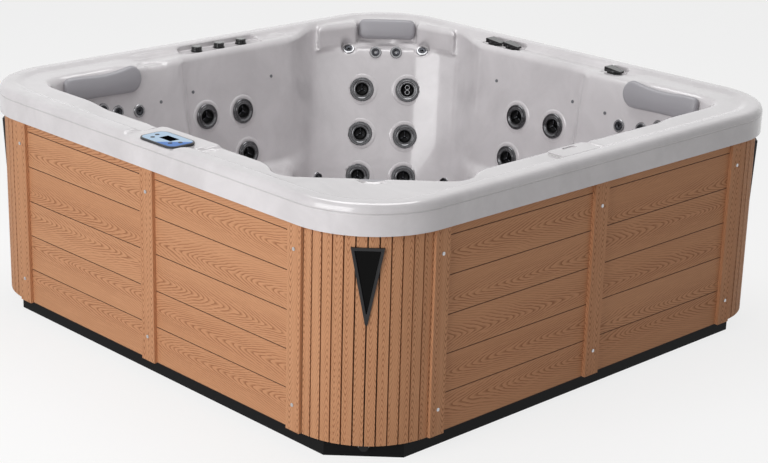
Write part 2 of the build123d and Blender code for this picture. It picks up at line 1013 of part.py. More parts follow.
with BuildPart() as control_housing:
    with BuildSketch(Plane.XY.offset(pad_height)):
        with Locations((panel_x, panel_y)):
            RectangleRounded(panel_width, panel_depth, panel_round)
    extrude(amount=panel_thickness)
    chamfer(control_housing.faces().sort_by(Axis.Z)[-1].edges(), panel_edge)
    with BuildSketch(Plane.XY.offset(pad_height)):
        with Locations((panel_x, panel_y)):
            RectangleRounded(panel_neck_width, panel_neck_depth, panel_round / 2)
    extrude(amount=-panel_neck_drop)
    with BuildSketch(Plane.XY.offset(overlay_bottom)):
        with Locations((panel_x, panel_y)):
            RectangleRounded(
                overlay_width + clearance, overlay_depth + clearance, panel_round - overlay_inset
            )
    extrude(amount=overlay_thickness, mode=Mode.SUBTRACT)
    with BuildSketch(Plane.XY.offset(overlay_top - screen_thickness - screen_inset)):
        with Locations((panel_x, screen_y)):
            Rectangle(screen_width + clearance, screen_depth + clearance)
    extrude(amount=screen_thickness + overlay_thickness, mode=Mode.SUBTRACT)
    with BuildSketch(Plane.XY.offset(key_bottom - key_travel - clearance)):
        with Locations(*key_places):
            Circle(key_radius + run_clearance)
    extrude(amount=key_height + key_travel, mode=Mode.SUBTRACT)
control_housing.part.label = "control_housing"
export_step(control_housing.part, "parts/control_housing.step")

with BuildPart() as control_overlay:
    with BuildSketch(Plane.XY.offset(overlay_bottom)):
        with Locations((panel_x, panel_y)):
            RectangleRounded(overlay_width, overlay_depth, panel_round - overlay_inset)
        with Locations((panel_x, screen_y)):
            Rectangle(screen_width + clearance, screen_depth + clearance, mode=Mode.SUBTRACT)
        with Locations(*key_places):
            Circle(key_radius + run_clearance, mode=Mode.SUBTRACT)
    extrude(amount=overlay_thickness)
control_overlay.part.label = "control_overlay"
export_step(control_overlay.part, "parts/control_overlay.step")

with BuildPart() as control_screen:
    with BuildSketch(Plane.XY.offset(overlay_top - screen_thickness - screen_inset)):
        with Locations((panel_x, screen_y)):
            Rectangle(screen_width, screen_depth)
    extrude(amount=screen_thickness)
control_screen.part.label = "control_screen"
export_step(control_screen.part, "parts/control_screen.step")

for name, place in zip(key_names, key_places):
    with BuildPart() as key:
        with BuildSketch(Plane.XY.offset(key_bottom)):
            with Locations(place):
                Circle(key_radius)
        extrude(amount=key_height)
        chamfer(key.faces().sort_by(Axis.Z)[-1].edges(), key_edge)
    key.part.label = name
    export_step(key.part, f"parts/{name}.step")

# Skimmer filter: housing with a mouth into the tub, two pleated cartridges, a weir door and a lid
flange_bottom = deck_height + soft_clearance
flange_top = flange_bottom + filter_flange_thickness
mouth_inside = mouth_plane.offset(mouth_flange_thickness + clearance)
weir_wall = (0, step_reach, bench_lean)
weir_pivot_x = reach_at(weir_wall, weir_pivot_height) + weir_pivot_inset

with BuildPart() as filter_housing:
    add(
        round_plate(
            filter_width, filter_length, filter_round, filter_bottom, flange_top, filter_x, filter_y
        )
    )
    add(
        round_plate(
            filter_flange_width,
            filter_flange_length,
            filter_flange_round,
            flange_bottom,
            flange_top,
            filter_x,
            filter_y,
        )
    )
    with BuildSketch(mouth_plane.offset(clearance)):
        RectangleRounded(
            mouth_width + filter_wall * 2, mouth_height + filter_wall * 2, mouth_round + filter_wall
        )
    extrude(amount=-mouth_length)
    with BuildSketch(mouth_plane.offset(clearance)):
        RectangleRounded(
            mouth_width + mouth_margin * 2, mouth_height + mouth_margin * 2, mouth_round + mouth_margin
        )
    extrude(amount=mouth_flange_thickness)
    add(rod(Plane((filter_x, filter_y, filter_bottom)), pipe_radius, -filter_spigot_length, 0))
    add(
        round_plate(
            filter_width - filter_wall * 2,
            filter_length - filter_wall * 2,
            filter_round - filter_wall,
            filter_bottom + filter_wall,
            flange_top,
            filter_x,
            filter_y,
        ),
        mode=Mode.SUBTRACT,
    )
    with BuildSketch(mouth_inside):
        RectangleRounded(mouth_width, mouth_height, mouth_round)
    extrude(amount=-mouth_length - filter_wall - mouth_flange_thickness, mode=Mode.SUBTRACT)
    add(
        rod(
            Plane((filter_x, filter_y, filter_bottom)), pipe_bore_radius, -filter_spigot_length, filter_wall
        ),
        mode=Mode.SUBTRACT,
    )
    with BuildSketch(Plane.XZ.offset(-filter_y)):
        with Locations((weir_pivot_x, weir_pivot_height)):
            Circle(weir_pin_radius + run_clearance)
    extrude(amount=mouth_width / 2 + weir_pin_length, both=True, mode=Mode.SUBTRACT)
filter_housing.part.label = "filter_housing"
export_step(filter_housing.part, "parts/filter_housing.step")

with BuildPart() as filter_cartridges:
    for shift in (-1, 1):
        middle = Plane((filter_x, filter_y + shift * cartridge_spacing / 2, cartridge_bottom))
        with BuildSketch(middle):
            Circle(cartridge_radius)
            with PolarLocations(cartridge_radius, cartridge_pleat_count):
                Rectangle(cartridge_pleat_depth * 2, cartridge_pleat_width, mode=Mode.SUBTRACT)
        extrude(amount=cartridge_length)
        for level in (0, cartridge_length - cartridge_cap_thickness):
            with BuildSketch(middle.offset(level)):
                Circle(cartridge_cap_radius)
            extrude(amount=cartridge_cap_thickness)
        with BuildSketch(middle):
            Circle(cartridge_core_radius)
        extrude(amount=cartridge_length, mode=Mode.SUBTRACT)
filter_cartridges.part.label = "filter_cartridges"
export_step(filter_cartridges.part, "parts/filter_cartridges.step")

with BuildPart() as weir_door:
    with BuildSketch(Plane.YZ.offset(weir_pivot_x - weir_thickness / 2)):
        with Locations((filter_y, weir_pivot_height + weir_height / 2)):
            RectangleRounded(weir_width, weir_height, mouth_round)
    extrude(amount=weir_thickness)
    with BuildSketch(Plane.XZ.offset(-filter_y)):
        with Locations((weir_pivot_x, weir_pivot_height + weir_height - weir_float_radius)):
            Circle(weir_float_radius)
    extrude(amount=weir_width / 2 - mouth_round, both=True)
    with BuildSketch(Plane.XZ.offset(-filter_y)):
        with Locations((weir_pivot_x, weir_pivot_height)):
            Circle(weir_pin_radius)
    extrude(amount=mouth_width / 2 + weir_pin_length - clearance, both=True)
weir_door.part.label = "weir_door"
export_step(weir_door.part, "parts/weir_door.step")

lid_bottom = flange_top + clearance
with BuildPart() as filter_lid:
    add(
        round_plate(
            filter_flange_width,
            filter_flange_length,
            filter_flange_round,
            lid_bottom,
            lid_bottom + lid_thickness,
            filter_x,
            filter_y,
        )
    )
    chamfer(filter_lid.faces().sort_by(Axis.Z)[-1].edges(), jet_round)
    with BuildSketch(Plane.XY.offset(lid_bottom + lid_thickness)):
        with Locations((filter_x - filter_flange_width / 4, filter_y)):
            SlotOverall(lid_notch_length, lid_notch_radius * 2, rotation=quarter_turn)
    extrude(amount=-lid_notch_depth, mode=Mode.SUBTRACT)
filter_lid.part.label = "filter_lid"
export_step(filter_lid.part, "parts/filter_lid.step")


# Pillows: cushions with a crowned face, built up from sections along their length
def cushion(plane, half_length, thickness, shares, half_heights, drops):
    back = plane.offset(soft_clearance)
    with BuildPart() as pad:
        for place, half, drop in zip(shares, half_heights, drops):
            front = thickness if abs(place) < 1 else thickness / 2
            side = half + pillow_edge / 3
            shoulder = half - pillow_edge
            rise = front * pillow_shoulder
            section = Plane(
                origin=back.from_local_coords((place * half_length, drop, 0)),
                x_dir=back.y_dir,
                z_dir=back.x_dir,
            )
            with BuildSketch(section):
                with BuildLine():
                    Line((-half, 0), (half, 0))
                    ThreePointArc((half, 0), (side, front / 2), (shoulder, rise))
                    ThreePointArc((shoulder, rise), (0, front), (-shoulder, rise))
                    ThreePointArc((-shoulder, rise), (-side, front / 2), (-half, 0))
                make_face()
        loft()
    return pad.part


pillow_spots = (
    ("left_pillow", on_wall(left_seat, -side_pillow_centre, side_pillow_height), side_pillow_half_length, 1),
    (
        "right_pillow",
        on_wall(right_seat, side_pillow_centre, side_pillow_height),
        side_pillow_half_length,
        -1,
    ),
    ("back_pillow", on_wall(pillow_wall, 0, back_pillow_height), back_pillow_half_length, 0),
    ("front_pillow", on_wall(front_seat, 0, front_pillow_height), back_pillow_half_length, 0),
)
for name, plane, half_length, hand in pillow_spots:
    shares = back_pillow_station_shares
    half_heights = back_pillow_half_heights
    drops = back_pillow_drops
    if hand:
        shares = side_pillow_station_shares[::hand]
        shares = [share * hand for share in shares]
        half_heights = side_pillow_half_heights[::hand]
        drops = side_pillow_drops[::hand]
    with BuildPart() as pillow:
        add(cushion(plane, half_length, pillow_thickness, shares, half_heights, drops))
    pillow.part.label = name
    export_step(pillow.part, f"parts/{name}.step")


# Cabinet: base pan, timber frame, boards, posts and slatted corners
arc_align = (Align.NONE, Align.NONE, Align.CENTER)


def pan_outline(inset, low, high):
    half = pan_half - inset
    corner = pan_chamfer - inset * (2 - 2**0.5)
    with BuildPart() as block:
        with BuildSketch(Plane.XY.offset(low)):
            square = Rectangle(half * 2, half * 2)
            chamfer(square.vertices(), corner)
        extrude(amount=high - low)
    return block.part


drain_out = Vector(cos(radians(drain_bearing)), sin(radians(drain_bearing)), 0)
drain_wall = Plane(
    origin=drain_out * drain_reach + Vector(0, 0, drain_height),
    x_dir=Vector(0, 0, 1).cross(drain_out),
    z_dir=drain_out,
)
gland_wall = Plane(origin=(-pan_half, gland_y, gland_height), x_dir=(0, 1, 0), z_dir=(-1, 0, 0))

with BuildPart() as base_pan:
    add(pan_outline(0, 0, pan_height))
    add(pan_outline(pan_wall, pan_wall, pan_height - pan_wall), mode=Mode.SUBTRACT)
    add(pan_outline(pan_flange_width, pan_wall, pan_height), mode=Mode.SUBTRACT)
    add(rod(drain_wall, drain_tube_radius + run_clearance, -pan_wall * 2, 0), mode=Mode.SUBTRACT)
    add(rod(gland_wall, gland_thread_radius + run_clearance, -pan_wall * 2, 0), mode=Mode.SUBTRACT)
base_pan.part.label = "base_pan"
export_step(base_pan.part, "parts/base_pan.step")

with BuildPart() as frame:
    for turn in sides:
        side = turn * quarter_turn
        with Locations(Location((0, 0, 0), (0, 0, side))):
            for low in rail_bottoms:
                with Locations((0, -rail_middle, low + rail_height / 2)):
                    Box(corner_middle * 2, stud_depth, rail_height)
            for x in (-post_place, 0, post_place):
                with Locations((x, -rail_middle, (pan_height + deck_underside) / 2)):
                    Box(stud_width, stud_depth, deck_underside - pan_height)
        with Locations(Location((0, 0, 0), (0, 0, side))):
            for low in rail_bottoms:
                with Locations((corner_middle, corner_middle, low + rail_height / 2)):
                    Cylinder(plate_radius, rail_height, arc_size=quarter_turn, align=arc_align)
    for turn in sides:
        with Locations(Location((0, 0, 0), (0, 0, turn * quarter_turn))):
            for low in rail_bottoms:
                with Locations((corner_middle, corner_middle, low + rail_height / 2)):
                    Cylinder(
                        plate_radius - stud_depth,
                        rail_height,
                        arc_size=quarter_turn,
                        align=arc_align,
                        mode=Mode.SUBTRACT,
                    )
    for turn in sides:
        with Locations(Location((0, 0, 0), (0, 0, turn * quarter_turn))):
            for x in (-post_place, 0, post_place):
                for z in screw_heights:
                    with Locations(Location((x, -post_face, z), (90, 0, 0))):
                        Cylinder(screw_radius + screw_gap, screw_grip * 2 + clearance * 2, mode=Mode.SUBTRACT)
    add(
        round_plate(
            air_tray_width + clearance * 2,
            air_tray_length + clearance * 2,
            tray_round + clearance,
            deck_underside - tray_depth - clearance,
            open_top,
            air_tray_x,
            air_tray_y,
        ),
        mode=Mode.SUBTRACT,
    )
frame.part.label = "frame"
export_step(frame.part, "parts/frame.step")

board_length = post_place - board_end_gap * 2
board_levels = [pan_height + board_pitch * row for row in range(board_count)]
strip_bottom = pan_height + board_pitch * board_count
with BuildPart() as panel_boards:
    for turn in sides:
        with Locations(Location((0, 0, 0), (0, 0, turn * quarter_turn))):
            for hand in (-1, 1):
                x = hand * (board_end_gap + board_length / 2)
                for low in board_levels:
                    with Locations(
                        (x, -board_face + board_thickness / 2, low + (board_pitch - board_groove) / 2)
                    ):
                        Box(board_length, board_thickness, board_pitch - board_groove)
                with Locations((x, -board_face + board_thickness / 2, (strip_bottom + skirt_top) / 2)):
                    Box(board_length, board_thickness, skirt_top - strip_bottom)
panel_boards.part.label = "panel_boards"
export_step(panel_boards.part, "parts/panel_boards.step")

with BuildPart() as trim_posts:
    for turn in sides:
        with Locations(Location((0, 0, 0), (0, 0, turn * quarter_turn))):
            for x, wide in (
                (-post_place, end_post_width), (0, middle_post_width), (post_place, end_post_width)
            ):
                with Locations((x, -post_face + post_thickness / 2, (pan_height + skirt_top) / 2)):
                    Box(wide, post_thickness, skirt_top - pan_height)
                for z in screw_heights:
                    with Locations(Location((x, -post_face, z), (90, 0, 0))):
                        Cylinder(
                            screw_radius + screw_gap, post_thickness * 2 + clearance * 2, mode=Mode.SUBTRACT
                        )
trim_posts.part.label = "trim_posts"
export_step(trim_posts.part, "parts/trim_posts.step")

with BuildPart() as panel_screws:
    for turn in sides:
        with Locations(Location((0, 0, 0), (0, 0, turn * quarter_turn))):
            for x in (-post_place, 0, post_place):
                for z in screw_heights:
                    with Locations(Location((x, -post_face, z), (90, 0, 0))):
                        Cylinder(
                            screw_head_radius,
                            screw_head_thickness,
                            align=(Align.CENTER, Align.CENTER, Align.MIN),
                        )
                        Cylinder(screw_radius, screw_grip, align=(Align.CENTER, Align.CENTER, Align.MAX))
                    with Locations((x, -post_face - screw_head_thickness, z)):
                        Box(
                            screw_head_radius * 2,
                            screw_slot_depth * 2,
                            screw_slot_width,
                            mode=Mode.SUBTRACT,
                        )
panel_screws.part.label = "panel_screws"
export_step(panel_screws.part, "parts/panel_screws.step")

# Slatted corners with a wedge light in each
slat_pitch = quarter_turn / slat_count
slat_width = slat_face_radius * radians(slat_pitch) - slat_gap
light_middle = corner_light_top - corner_light_length / 2
light_front = slat_face_radius + corner_light_proud


def light_wedge(turn, grow, near, far):
    """The wedge of a corner light, grown all round, between two distances from its corner's middle."""
    across = cos(radians(eighth_turn))
    out = Vector(across, -across, 0).rotate(Axis.Z, turn * quarter_turn)
    middle = Vector(corner_middle, -corner_middle, 0).rotate(Axis.Z, turn * quarter_turn)
    face = Plane(
        origin=middle + out * near + Vector(0, 0, light_middle), x_dir=Vector(0, 0, 1).cross(out), z_dir=out
    )
    tall = corner_light_length / 2
    slope = (corner_light_width / 2 - tip_half_width) / corner_light_length
    side = grow * (1 + slope**2) ** 0.5
    top = tall + grow
    bottom = -tall - grow
    half = corner_light_width / 2 + slope * grow + side
    tip = tip_half_width - slope * grow + side
    if tip < lens_tip_half_width:
        bottom += (lens_tip_half_width - tip) / slope
        tip = lens_tip_half_width
    with BuildPart() as wedge:
        with BuildSketch(face):
            Polygon((-half, top), (-tip, bottom), (tip, bottom), (half, top), align=None)
        extrude(amount=far - near)
    return wedge.part


with BuildPart() as corner_slats:
    for turn in sides:
        with Locations(Location((0, 0, 0), (0, 0, turn * quarter_turn))):
            for slat in range(slat_count):
                angle = -(slat + 1 / 2) * slat_pitch
                reach = slat_face_radius - slat_thickness / 2
                with Locations(
                    Location(
                        (
                            corner_middle + reach * cos(radians(angle)),
                            -corner_middle + reach * sin(radians(angle)),
                            (pan_height + skirt_top) / 2,
                        ),
                        (0, 0, angle),
                    )
                ):
                    Box(slat_thickness, slat_width, skirt_top - pan_height)
    add(
        [
            light_wedge(turn, light_gap, slat_face_radius - stud_depth, slat_face_radius + stud_depth)
            for turn in sides
        ],
        mode=Mode.SUBTRACT,
    )
corner_slats.part.label = "corner_slats"
export_step(corner_slats.part, "parts/corner_slats.step")

backing_outer = slat_face_radius - slat_thickness - clearance
with BuildPart() as corner_backings:
    for reach, mode in ((backing_outer, Mode.ADD), (backing_outer - backing_thickness, Mode.SUBTRACT)):
        for turn in sides:
            with Locations(Location((0, 0, 0), (0, 0, turn * quarter_turn))):
                with Locations((corner_middle, corner_middle, (pan_height + skirt_top) / 2)):
                    Cylinder(
                        reach, skirt_top - pan_height, arc_size=quarter_turn, align=arc_align, mode=mode
                    )
    add(
        [
            light_wedge(turn, light_gap, slat_face_radius - stud_depth, slat_face_radius + stud_depth)
            for turn in sides
        ],
        mode=Mode.SUBTRACT,
    )
corner_backings.part.label = "corner_backings"
export_step(corner_backings.part, "parts/corner_backings.step")

light_back = light_front - corner_light_depth
lens_front = light_front - corner_light_recess
with BuildPart() as corner_light_bezels:
    add([light_wedge(turn, 0, light_back, light_front) for turn in sides])
    add(
        [
            light_wedge(
                turn, -corner_light_frame, lens_front - lens_thickness - clearance, light_front + overrun
            )
            for turn in sides
        ],
        mode=Mode.SUBTRACT,
    )
corner_light_bezels.part.label = "corner_light_bezels"
export_step(corner_light_bezels.part, "parts/corner_light_bezels.step")

with BuildPart() as corner_light_lenses:
    add(
        [
            light_wedge(turn, -corner_light_frame - clearance, lens_front - lens_thickness, lens_front)
            for turn in sides
        ]
    )
corner_light_lenses.part.label = "corner_light_lenses"
export_step(corner_light_lenses.part, "parts/corner_light_lenses.step")

# Plinth under the footwell
with BuildPart() as footwell_plinth:
    add(
        round_plate(
            plinth_width, plinth_width, plinth_round, pan_wall, footwell_floor - shell_wall - clearance
        )
    )
footwell_plinth.part.label = "footwell_plinth"
export_step(footwell_plinth.part, "parts/footwell_plinth.step")


# Suction covers on the footwell wall
def suction_cover(plane):
    with BuildPart() as cover:
        add(rod(plane, suction_radius, 0, suction_rim_thickness))
        with BuildSketch(plane):
            Circle(suction_dome_radius)
        extrude(amount=suction_dome_height)
        chamfer(cover.faces().sort_by(Axis(plane.origin, plane.z_dir))[-1].edges(), suction_rim_thickness / 2)
        add(rod(plane, pipe_radius, -suction_barrel_length, 0))
        add(rod(plane, pipe_bore_radius, -suction_barrel_length, suction_base_thickness), mode=Mode.SUBTRACT)
        grille_back = suction_dome_height - suction_wall
        add(
            rod(plane, suction_dome_radius - suction_wall, suction_base_thickness, grille_back),
            mode=Mode.SUBTRACT,
        )
        with BuildSketch(plane.offset(suction_dome_height)):
            with PolarLocations(suction_slot_reach, suction_slot_count):
                SlotOverall(suction_slot_length, suction_slot_width)
        extrude(amount=-suction_wall * 2, mode=Mode.SUBTRACT)
    return cover.part


with BuildPart() as suction_covers:
    add([suction_cover(plane) for plane in suction_planes])
suction_covers.part.label = "suction_covers"
export_step(suction_covers.part, "parts/suction_covers.step")

# Pump along X: motor, wet end and the rotor they share
pump_line = Plane(origin=(0, pump_y, pump_height), x_dir=(0, 1, 0), z_dir=(1, 0, 0))
volute_start = motor_end + clearance
volute_end = volute_start + volute_length
inlet_end = volute_end + volute_inlet_length

with BuildPart() as pump_motor:
    add(rod(pump_line, motor_radius, motor_start, motor_end - motor_flange_thickness))
    add(rod(pump_line, motor_flange_radius, motor_end - motor_flange_thickness, motor_end))
    with BuildSketch(pump_line.offset(motor_start + motor_flange_thickness)):
        with PolarLocations(motor_radius, motor_fin_count):
            Rectangle(motor_fin_height * 2, motor_fin_width)
    extrude(amount=motor_end - motor_start - motor_flange_thickness * 4)
    with Locations(((motor_start + motor_end) / 2, pump_y, pan_wall)):
        Box(
            motor_foot_length,
            motor_foot_width,
            motor_foot_height,
            align=(Align.CENTER, Align.CENTER, Align.MIN),
        )
    with Locations(((motor_start + motor_end) / 2, pump_y - motor_box_reach / 2, pump_height)):
        Box(motor_box_length, motor_box_reach, motor_box_width)
    add(rod(pump_line, shaft_radius + run_clearance, shaft_back - clearance, motor_end), mode=Mode.SUBTRACT)
pump_motor.part.label = "pump_motor"
export_step(pump_motor.part, "parts/pump_motor.step")

outlet_x = (volute_start + volute_end) / 2
outlet_base = Plane((outlet_x, pump_y, pump_height))
with BuildPart() as pump_wet_end:
    add(rod(pump_line, volute_radius, volute_start, volute_end))
    add(rod(pump_line, pipe_radius, volute_end, inlet_end))
    add(rod(outlet_base, pipe_radius, 0, volute_outlet_top - pump_height))
    add(
        rod(pump_line, volute_radius - volute_wall, volute_start + volute_wall, volute_end - volute_wall),
        mode=Mode.SUBTRACT,
    )
    add(rod(pump_line, pipe_bore_radius, volute_end - volute_wall, inlet_end), mode=Mode.SUBTRACT)
    add(
        rod(outlet_base, pipe_bore_radius, volute_radius / 2, volute_outlet_top - pump_height),
        mode=Mode.SUBTRACT,
    )
    add(
        rod(pump_line, shaft_radius + run_clearance, volute_start, volute_start + volute_wall),
        mode=Mode.SUBTRACT,
    )
pump_wet_end.part.label = "pump_wet_end"
export_step(pump_wet_end.part, "parts/pump_wet_end.step")

impeller_base = volute_start + volute_wall + impeller_start
with BuildPart() as pump_rotor:
    add(rod(pump_line, shaft_radius, shaft_back, impeller_base + impeller_thickness))
    add(rod(pump_line, impeller_radius, impeller_base, impeller_base + impeller_thickness))
    with BuildSketch(pump_line.offset(impeller_base + impeller_thickness)):
        with PolarLocations(impeller_radius / 2, impeller_vane_count):
            Rectangle(impeller_radius - shaft_radius * 2, impeller_vane_width, rotation=impeller_vane_angle)
    extrude(amount=impeller_vane_height)
pump_rotor.part.label = "pump_rotor"
export_step(pump_rotor.part, "parts/pump_rotor.step")

# Heater tube with its terminal box
heater_line = Plane(origin=(0, heater_y, outlet_height), x_dir=(0, 1, 0), z_dir=(1, 0, 0))
with BuildPart() as heater:
    add(rod(heater_line, heater_radius, heater_start, heater_end))
    add(rod(heater_line, heater_collar_radius, heater_start, heater_start + heater_collar_length))
    add(rod(heater_line, heater_collar_radius, heater_end - heater_collar_length, heater_end))
    with Locations(((heater_start + heater_end) / 2, heater_y, outlet_height - heater_box_height)):
        Box(heater_box_length, heater_box_width, heater_box_height)
    add(rod(heater_line, pipe_radius, heater_start, heater_end), mode=Mode.SUBTRACT)
heater.part.label = "heater"
export_step(heater.part, "parts/heater.step")

# Pipes: suction to the pump, discharge to the heater, and on to the manifold
cover_ends = [plane.from_local_coords((0, 0, -suction_barrel_length - clearance)) for plane in suction_planes]
cover_bends = [
    plane.from_local_coords((0, 0, -suction_barrel_length - cover_run)) for plane in suction_planes
]
main_bend = (inlet_pipe_x, inlet_pipe_y, pump_height)
main_tee = Vector(inlet_pipe_x, cover_pipe_y, pump_height)
filter_end = (filter_x, filter_y, filter_bottom - filter_spigot_length - clearance)
filter_run = [
    filter_end,
    (filter_x, filter_y, pump_height),
    (filter_pipe_x, filter_y, pump_height),
    main_bend,
    (inlet_pipe_x, pump_y, pump_height),
    (inlet_end + clearance, pump_y, pump_height),
]
with BuildPart() as suction_pipe:
    add(run(filter_run, pipe_radius))
    for radius, mode in ((pipe_radius, Mode.ADD), (pipe_bore_radius, Mode.SUBTRACT)):
        for start, bend in zip(cover_ends, cover_bends):
            side = Vector(bend.X, cover_pipe_y, pump_height)
            add(straight(start, bend, radius), mode=mode)
            add(straight(bend, side, radius), mode=mode)
            with Locations(bend, side):
                Sphere(radius, mode=mode)
        add(straight(Vector(cover_bends[1].X, cover_pipe_y, pump_height), main_tee, radius), mode=mode)
        add(straight(main_tee, Vector(*main_bend), radius), mode=mode)
    add(run(filter_run, pipe_bore_radius), mode=Mode.SUBTRACT)
suction_pipe.part.label = "suction_pipe"
export_step(suction_pipe.part, "parts/suction_pipe.step")

discharge_run = [
    (outlet_x, pump_y, volute_outlet_top + clearance),
    (outlet_x, pump_y, outlet_height),
    (outlet_x, heater_y, outlet_height),
    (heater_start - clearance, heater_y, outlet_height),
]
manifold_run = [
    (heater_end + clearance, heater_y, outlet_height),
    (manifold_x, heater_y, outlet_height),
    (manifold_x, heater_y, manifold_bottom + manifold_wall),
]
manifold_base = Plane((manifold_x, heater_y, manifold_bottom))
manifold_height = manifold_top - manifold_bottom
stub_lines = [
    Plane(
        origin=(
            manifold_x, heater_y, manifold_bottom + manifold_height * (stub + 1) / (manifold_stub_count + 1)
        ),
        x_dir=(0, 1, 0),
        z_dir=(-1, 0, 0),
    )
    for stub in range(manifold_stub_count)
]
with BuildPart() as discharge_pipes:
    add(run(discharge_run, pipe_radius))
    add(run(discharge_run, pipe_bore_radius), mode=Mode.SUBTRACT)
    add(run(manifold_run, pipe_radius))
    add(rod(manifold_base, manifold_radius, 0, manifold_height))
    add([rod(line, manifold_stub_radius, 0, manifold_stub_reach) for line in stub_lines])
    add(
        rod(manifold_base, manifold_radius - manifold_wall, manifold_wall, manifold_height - manifold_wall),
        mode=Mode.SUBTRACT,
    )
    add(run(manifold_run, pipe_bore_radius), mode=Mode.SUBTRACT)
    add([rod(line, manifold_stub_bore, 0, manifold_stub_reach) for line in stub_lines], mode=Mode.SUBTRACT)
discharge_pipes.part.label = "discharge_pipes"
export_step(discharge_pipes.part, "parts/discharge_pipes.step")

# Control box on the pan with its lid
with BuildPart() as control_box:
    add(round_plate(box_width, box_length, box_round, pan_wall, pan_wall + box_height, box_x, box_y))
    add(
        round_plate(
            box_width - box_wall * 2,
            box_length - box_wall * 2,
            box_round - box_wall,
            pan_wall + box_wall,
            pan_wall + box_height,
            box_x,
            box_y,
        ),
        mode=Mode.SUBTRACT,
    )
    lid_base = pan_wall + box_height + clearance
    add(round_plate(box_width, box_length, box_round, lid_base, lid_base + box_lid_thickness, box_x, box_y))
control_box.part.label = "control_box"
export_step(control_box.part, "parts/control_box.step")

# Drain through the pan's front corner, with its screw cap
with BuildPart() as drain_spigot:
    add(rod(drain_wall, drain_tube_radius, -drain_tube_length, drain_cap_length))
    add(rod(drain_wall, drain_flange_radius, clearance, drain_flange_thickness))
    add(rod(drain_wall, drain_bore_radius, -drain_tube_length, drain_cap_length), mode=Mode.SUBTRACT)
drain_spigot.part.label = "drain_spigot"
export_step(drain_spigot.part, "parts/drain_spigot.step")

cap_start = drain_flange_thickness + clearance
cap_inside = drain_cap_length + clearance
with BuildPart() as drain_cap:
    add(rod(drain_wall, drain_cap_radius, cap_start, cap_inside + drain_cap_wall))
    add(rod(drain_wall, drain_tube_radius + run_clearance, cap_start, cap_inside), mode=Mode.SUBTRACT)
    with BuildSketch(drain_wall.offset(cap_start)):
        with PolarLocations(drain_cap_radius + drain_grip_radius / 2, drain_grip_count):
            Circle(drain_grip_radius)
    extrude(amount=drain_cap_length * 2, mode=Mode.SUBTRACT)
drain_cap.part.label = "drain_cap"
export_step(drain_cap.part, "parts/drain_cap.step")

# Cable gland through the pan behind the control box
with BuildPart() as cable_gland:
    add(rod(gland_wall, gland_thread_radius, -pan_wall - gland_inner_length, 0))
    with BuildSketch(gland_wall.offset(clearance)):
        RegularPolygon(gland_radius, nut_sides)
    extrude(amount=gland_hex_length)
    add(rod(gland_wall, gland_radius * gland_dome_share, clearance, gland_hex_length + gland_dome_length))
    with BuildSketch(gland_wall.offset(-pan_wall - clearance)):
        RegularPolygon(gland_radius, nut_sides)
    extrude(amount=-gland_inner_length / 2)
    add(
        rod(
            gland_wall, gland_bore_radius, -pan_wall - gland_inner_length, gland_hex_length + gland_dome_length
        ),
        mode=Mode.SUBTRACT,
    )
cable_gland.part.label = "cable_gland"
export_step(cable_gland.part, "parts/cable_gland.step")
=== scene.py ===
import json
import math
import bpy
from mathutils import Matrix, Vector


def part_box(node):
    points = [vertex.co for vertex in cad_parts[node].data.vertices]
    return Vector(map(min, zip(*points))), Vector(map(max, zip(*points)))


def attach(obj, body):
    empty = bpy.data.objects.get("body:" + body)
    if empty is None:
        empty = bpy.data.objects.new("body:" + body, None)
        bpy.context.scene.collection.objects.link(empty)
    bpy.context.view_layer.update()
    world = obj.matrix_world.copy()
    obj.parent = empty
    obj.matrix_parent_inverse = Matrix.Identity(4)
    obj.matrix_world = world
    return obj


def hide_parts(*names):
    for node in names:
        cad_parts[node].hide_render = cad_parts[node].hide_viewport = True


bl_info = {
    "name": "Hot tub",
    "version": (1, 0, 0),
    "blender": (4, 5, 0),
    "location": "View3D > Sidebar > Hot tub",
    "description": "Builds the look of a square hot tub on its packed CAD model",
    "category": "Add Mesh",
}

import bpy
import numpy as np
from bpy.props import FloatProperty, FloatVectorProperty, PointerProperty
from mathutils import Matrix, Vector

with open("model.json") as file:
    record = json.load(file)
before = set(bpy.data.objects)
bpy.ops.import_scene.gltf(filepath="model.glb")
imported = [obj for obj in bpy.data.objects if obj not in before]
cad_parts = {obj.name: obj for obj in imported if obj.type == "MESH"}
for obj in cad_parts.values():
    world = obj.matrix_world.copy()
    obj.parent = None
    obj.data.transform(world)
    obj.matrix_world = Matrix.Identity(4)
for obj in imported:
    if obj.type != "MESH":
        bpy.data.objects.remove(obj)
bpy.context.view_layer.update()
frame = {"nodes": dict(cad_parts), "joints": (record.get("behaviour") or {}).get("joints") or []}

# Sizes of the shell in millimetres, and the camera in metres and degrees
MM = 0.001
TOP = 915.0
HALF = 1155.0
BRIM = 865.0
CREASE = 881.0
LIP_BOTTOM = 807.0
LIP_WALL = 7.0
LIP_CORNER = 330.0
CREASE_DEPTH = 20.0
CAMERA_PLACE = Vector((5.04204, -4.86463, 2.68113))
CAMERA_ANGLES = (45.785, 18.604, 1.528)
SENSOR = 36.0
FOCAL_PIXELS = 1833.54
PHOTO_WIDTH = 768

# Sizes of the patterns' cells in millimetres. A fibre's are along the board and across it. The skin's
# real grain is under a millimetre, and is drawn coarser so that it shows.
CLOUD = 250.0
CLOUD_WARP = 454.5
WAVE = 384.62
FIBRE = (111.11, 6.25)
SKIN_GRAIN = 1.5385

# Places in the patterns in metres, and the share of painted shade in the lip's crease. A grain is its arch's
# tip, its drift and how far its sides slant
CREASE_EDGE = (0.0006, 0.0032)
CREASE_PAINTED_SHADE = 0.35
BOARD_START = 0.068
BOARD_PITCH = 0.14
BOARD_JOINT = (0.0008, 0.0026)
BOARD_GRAIN = (0.008, 0.06, 0.24)
BOARD_SHIFT = 40.0
SLAT_PITCH = 0.0345
SLAT_GRAIN = (0.004, 0.03, 0.34)
GRAIN_DEPTH = 0.0008

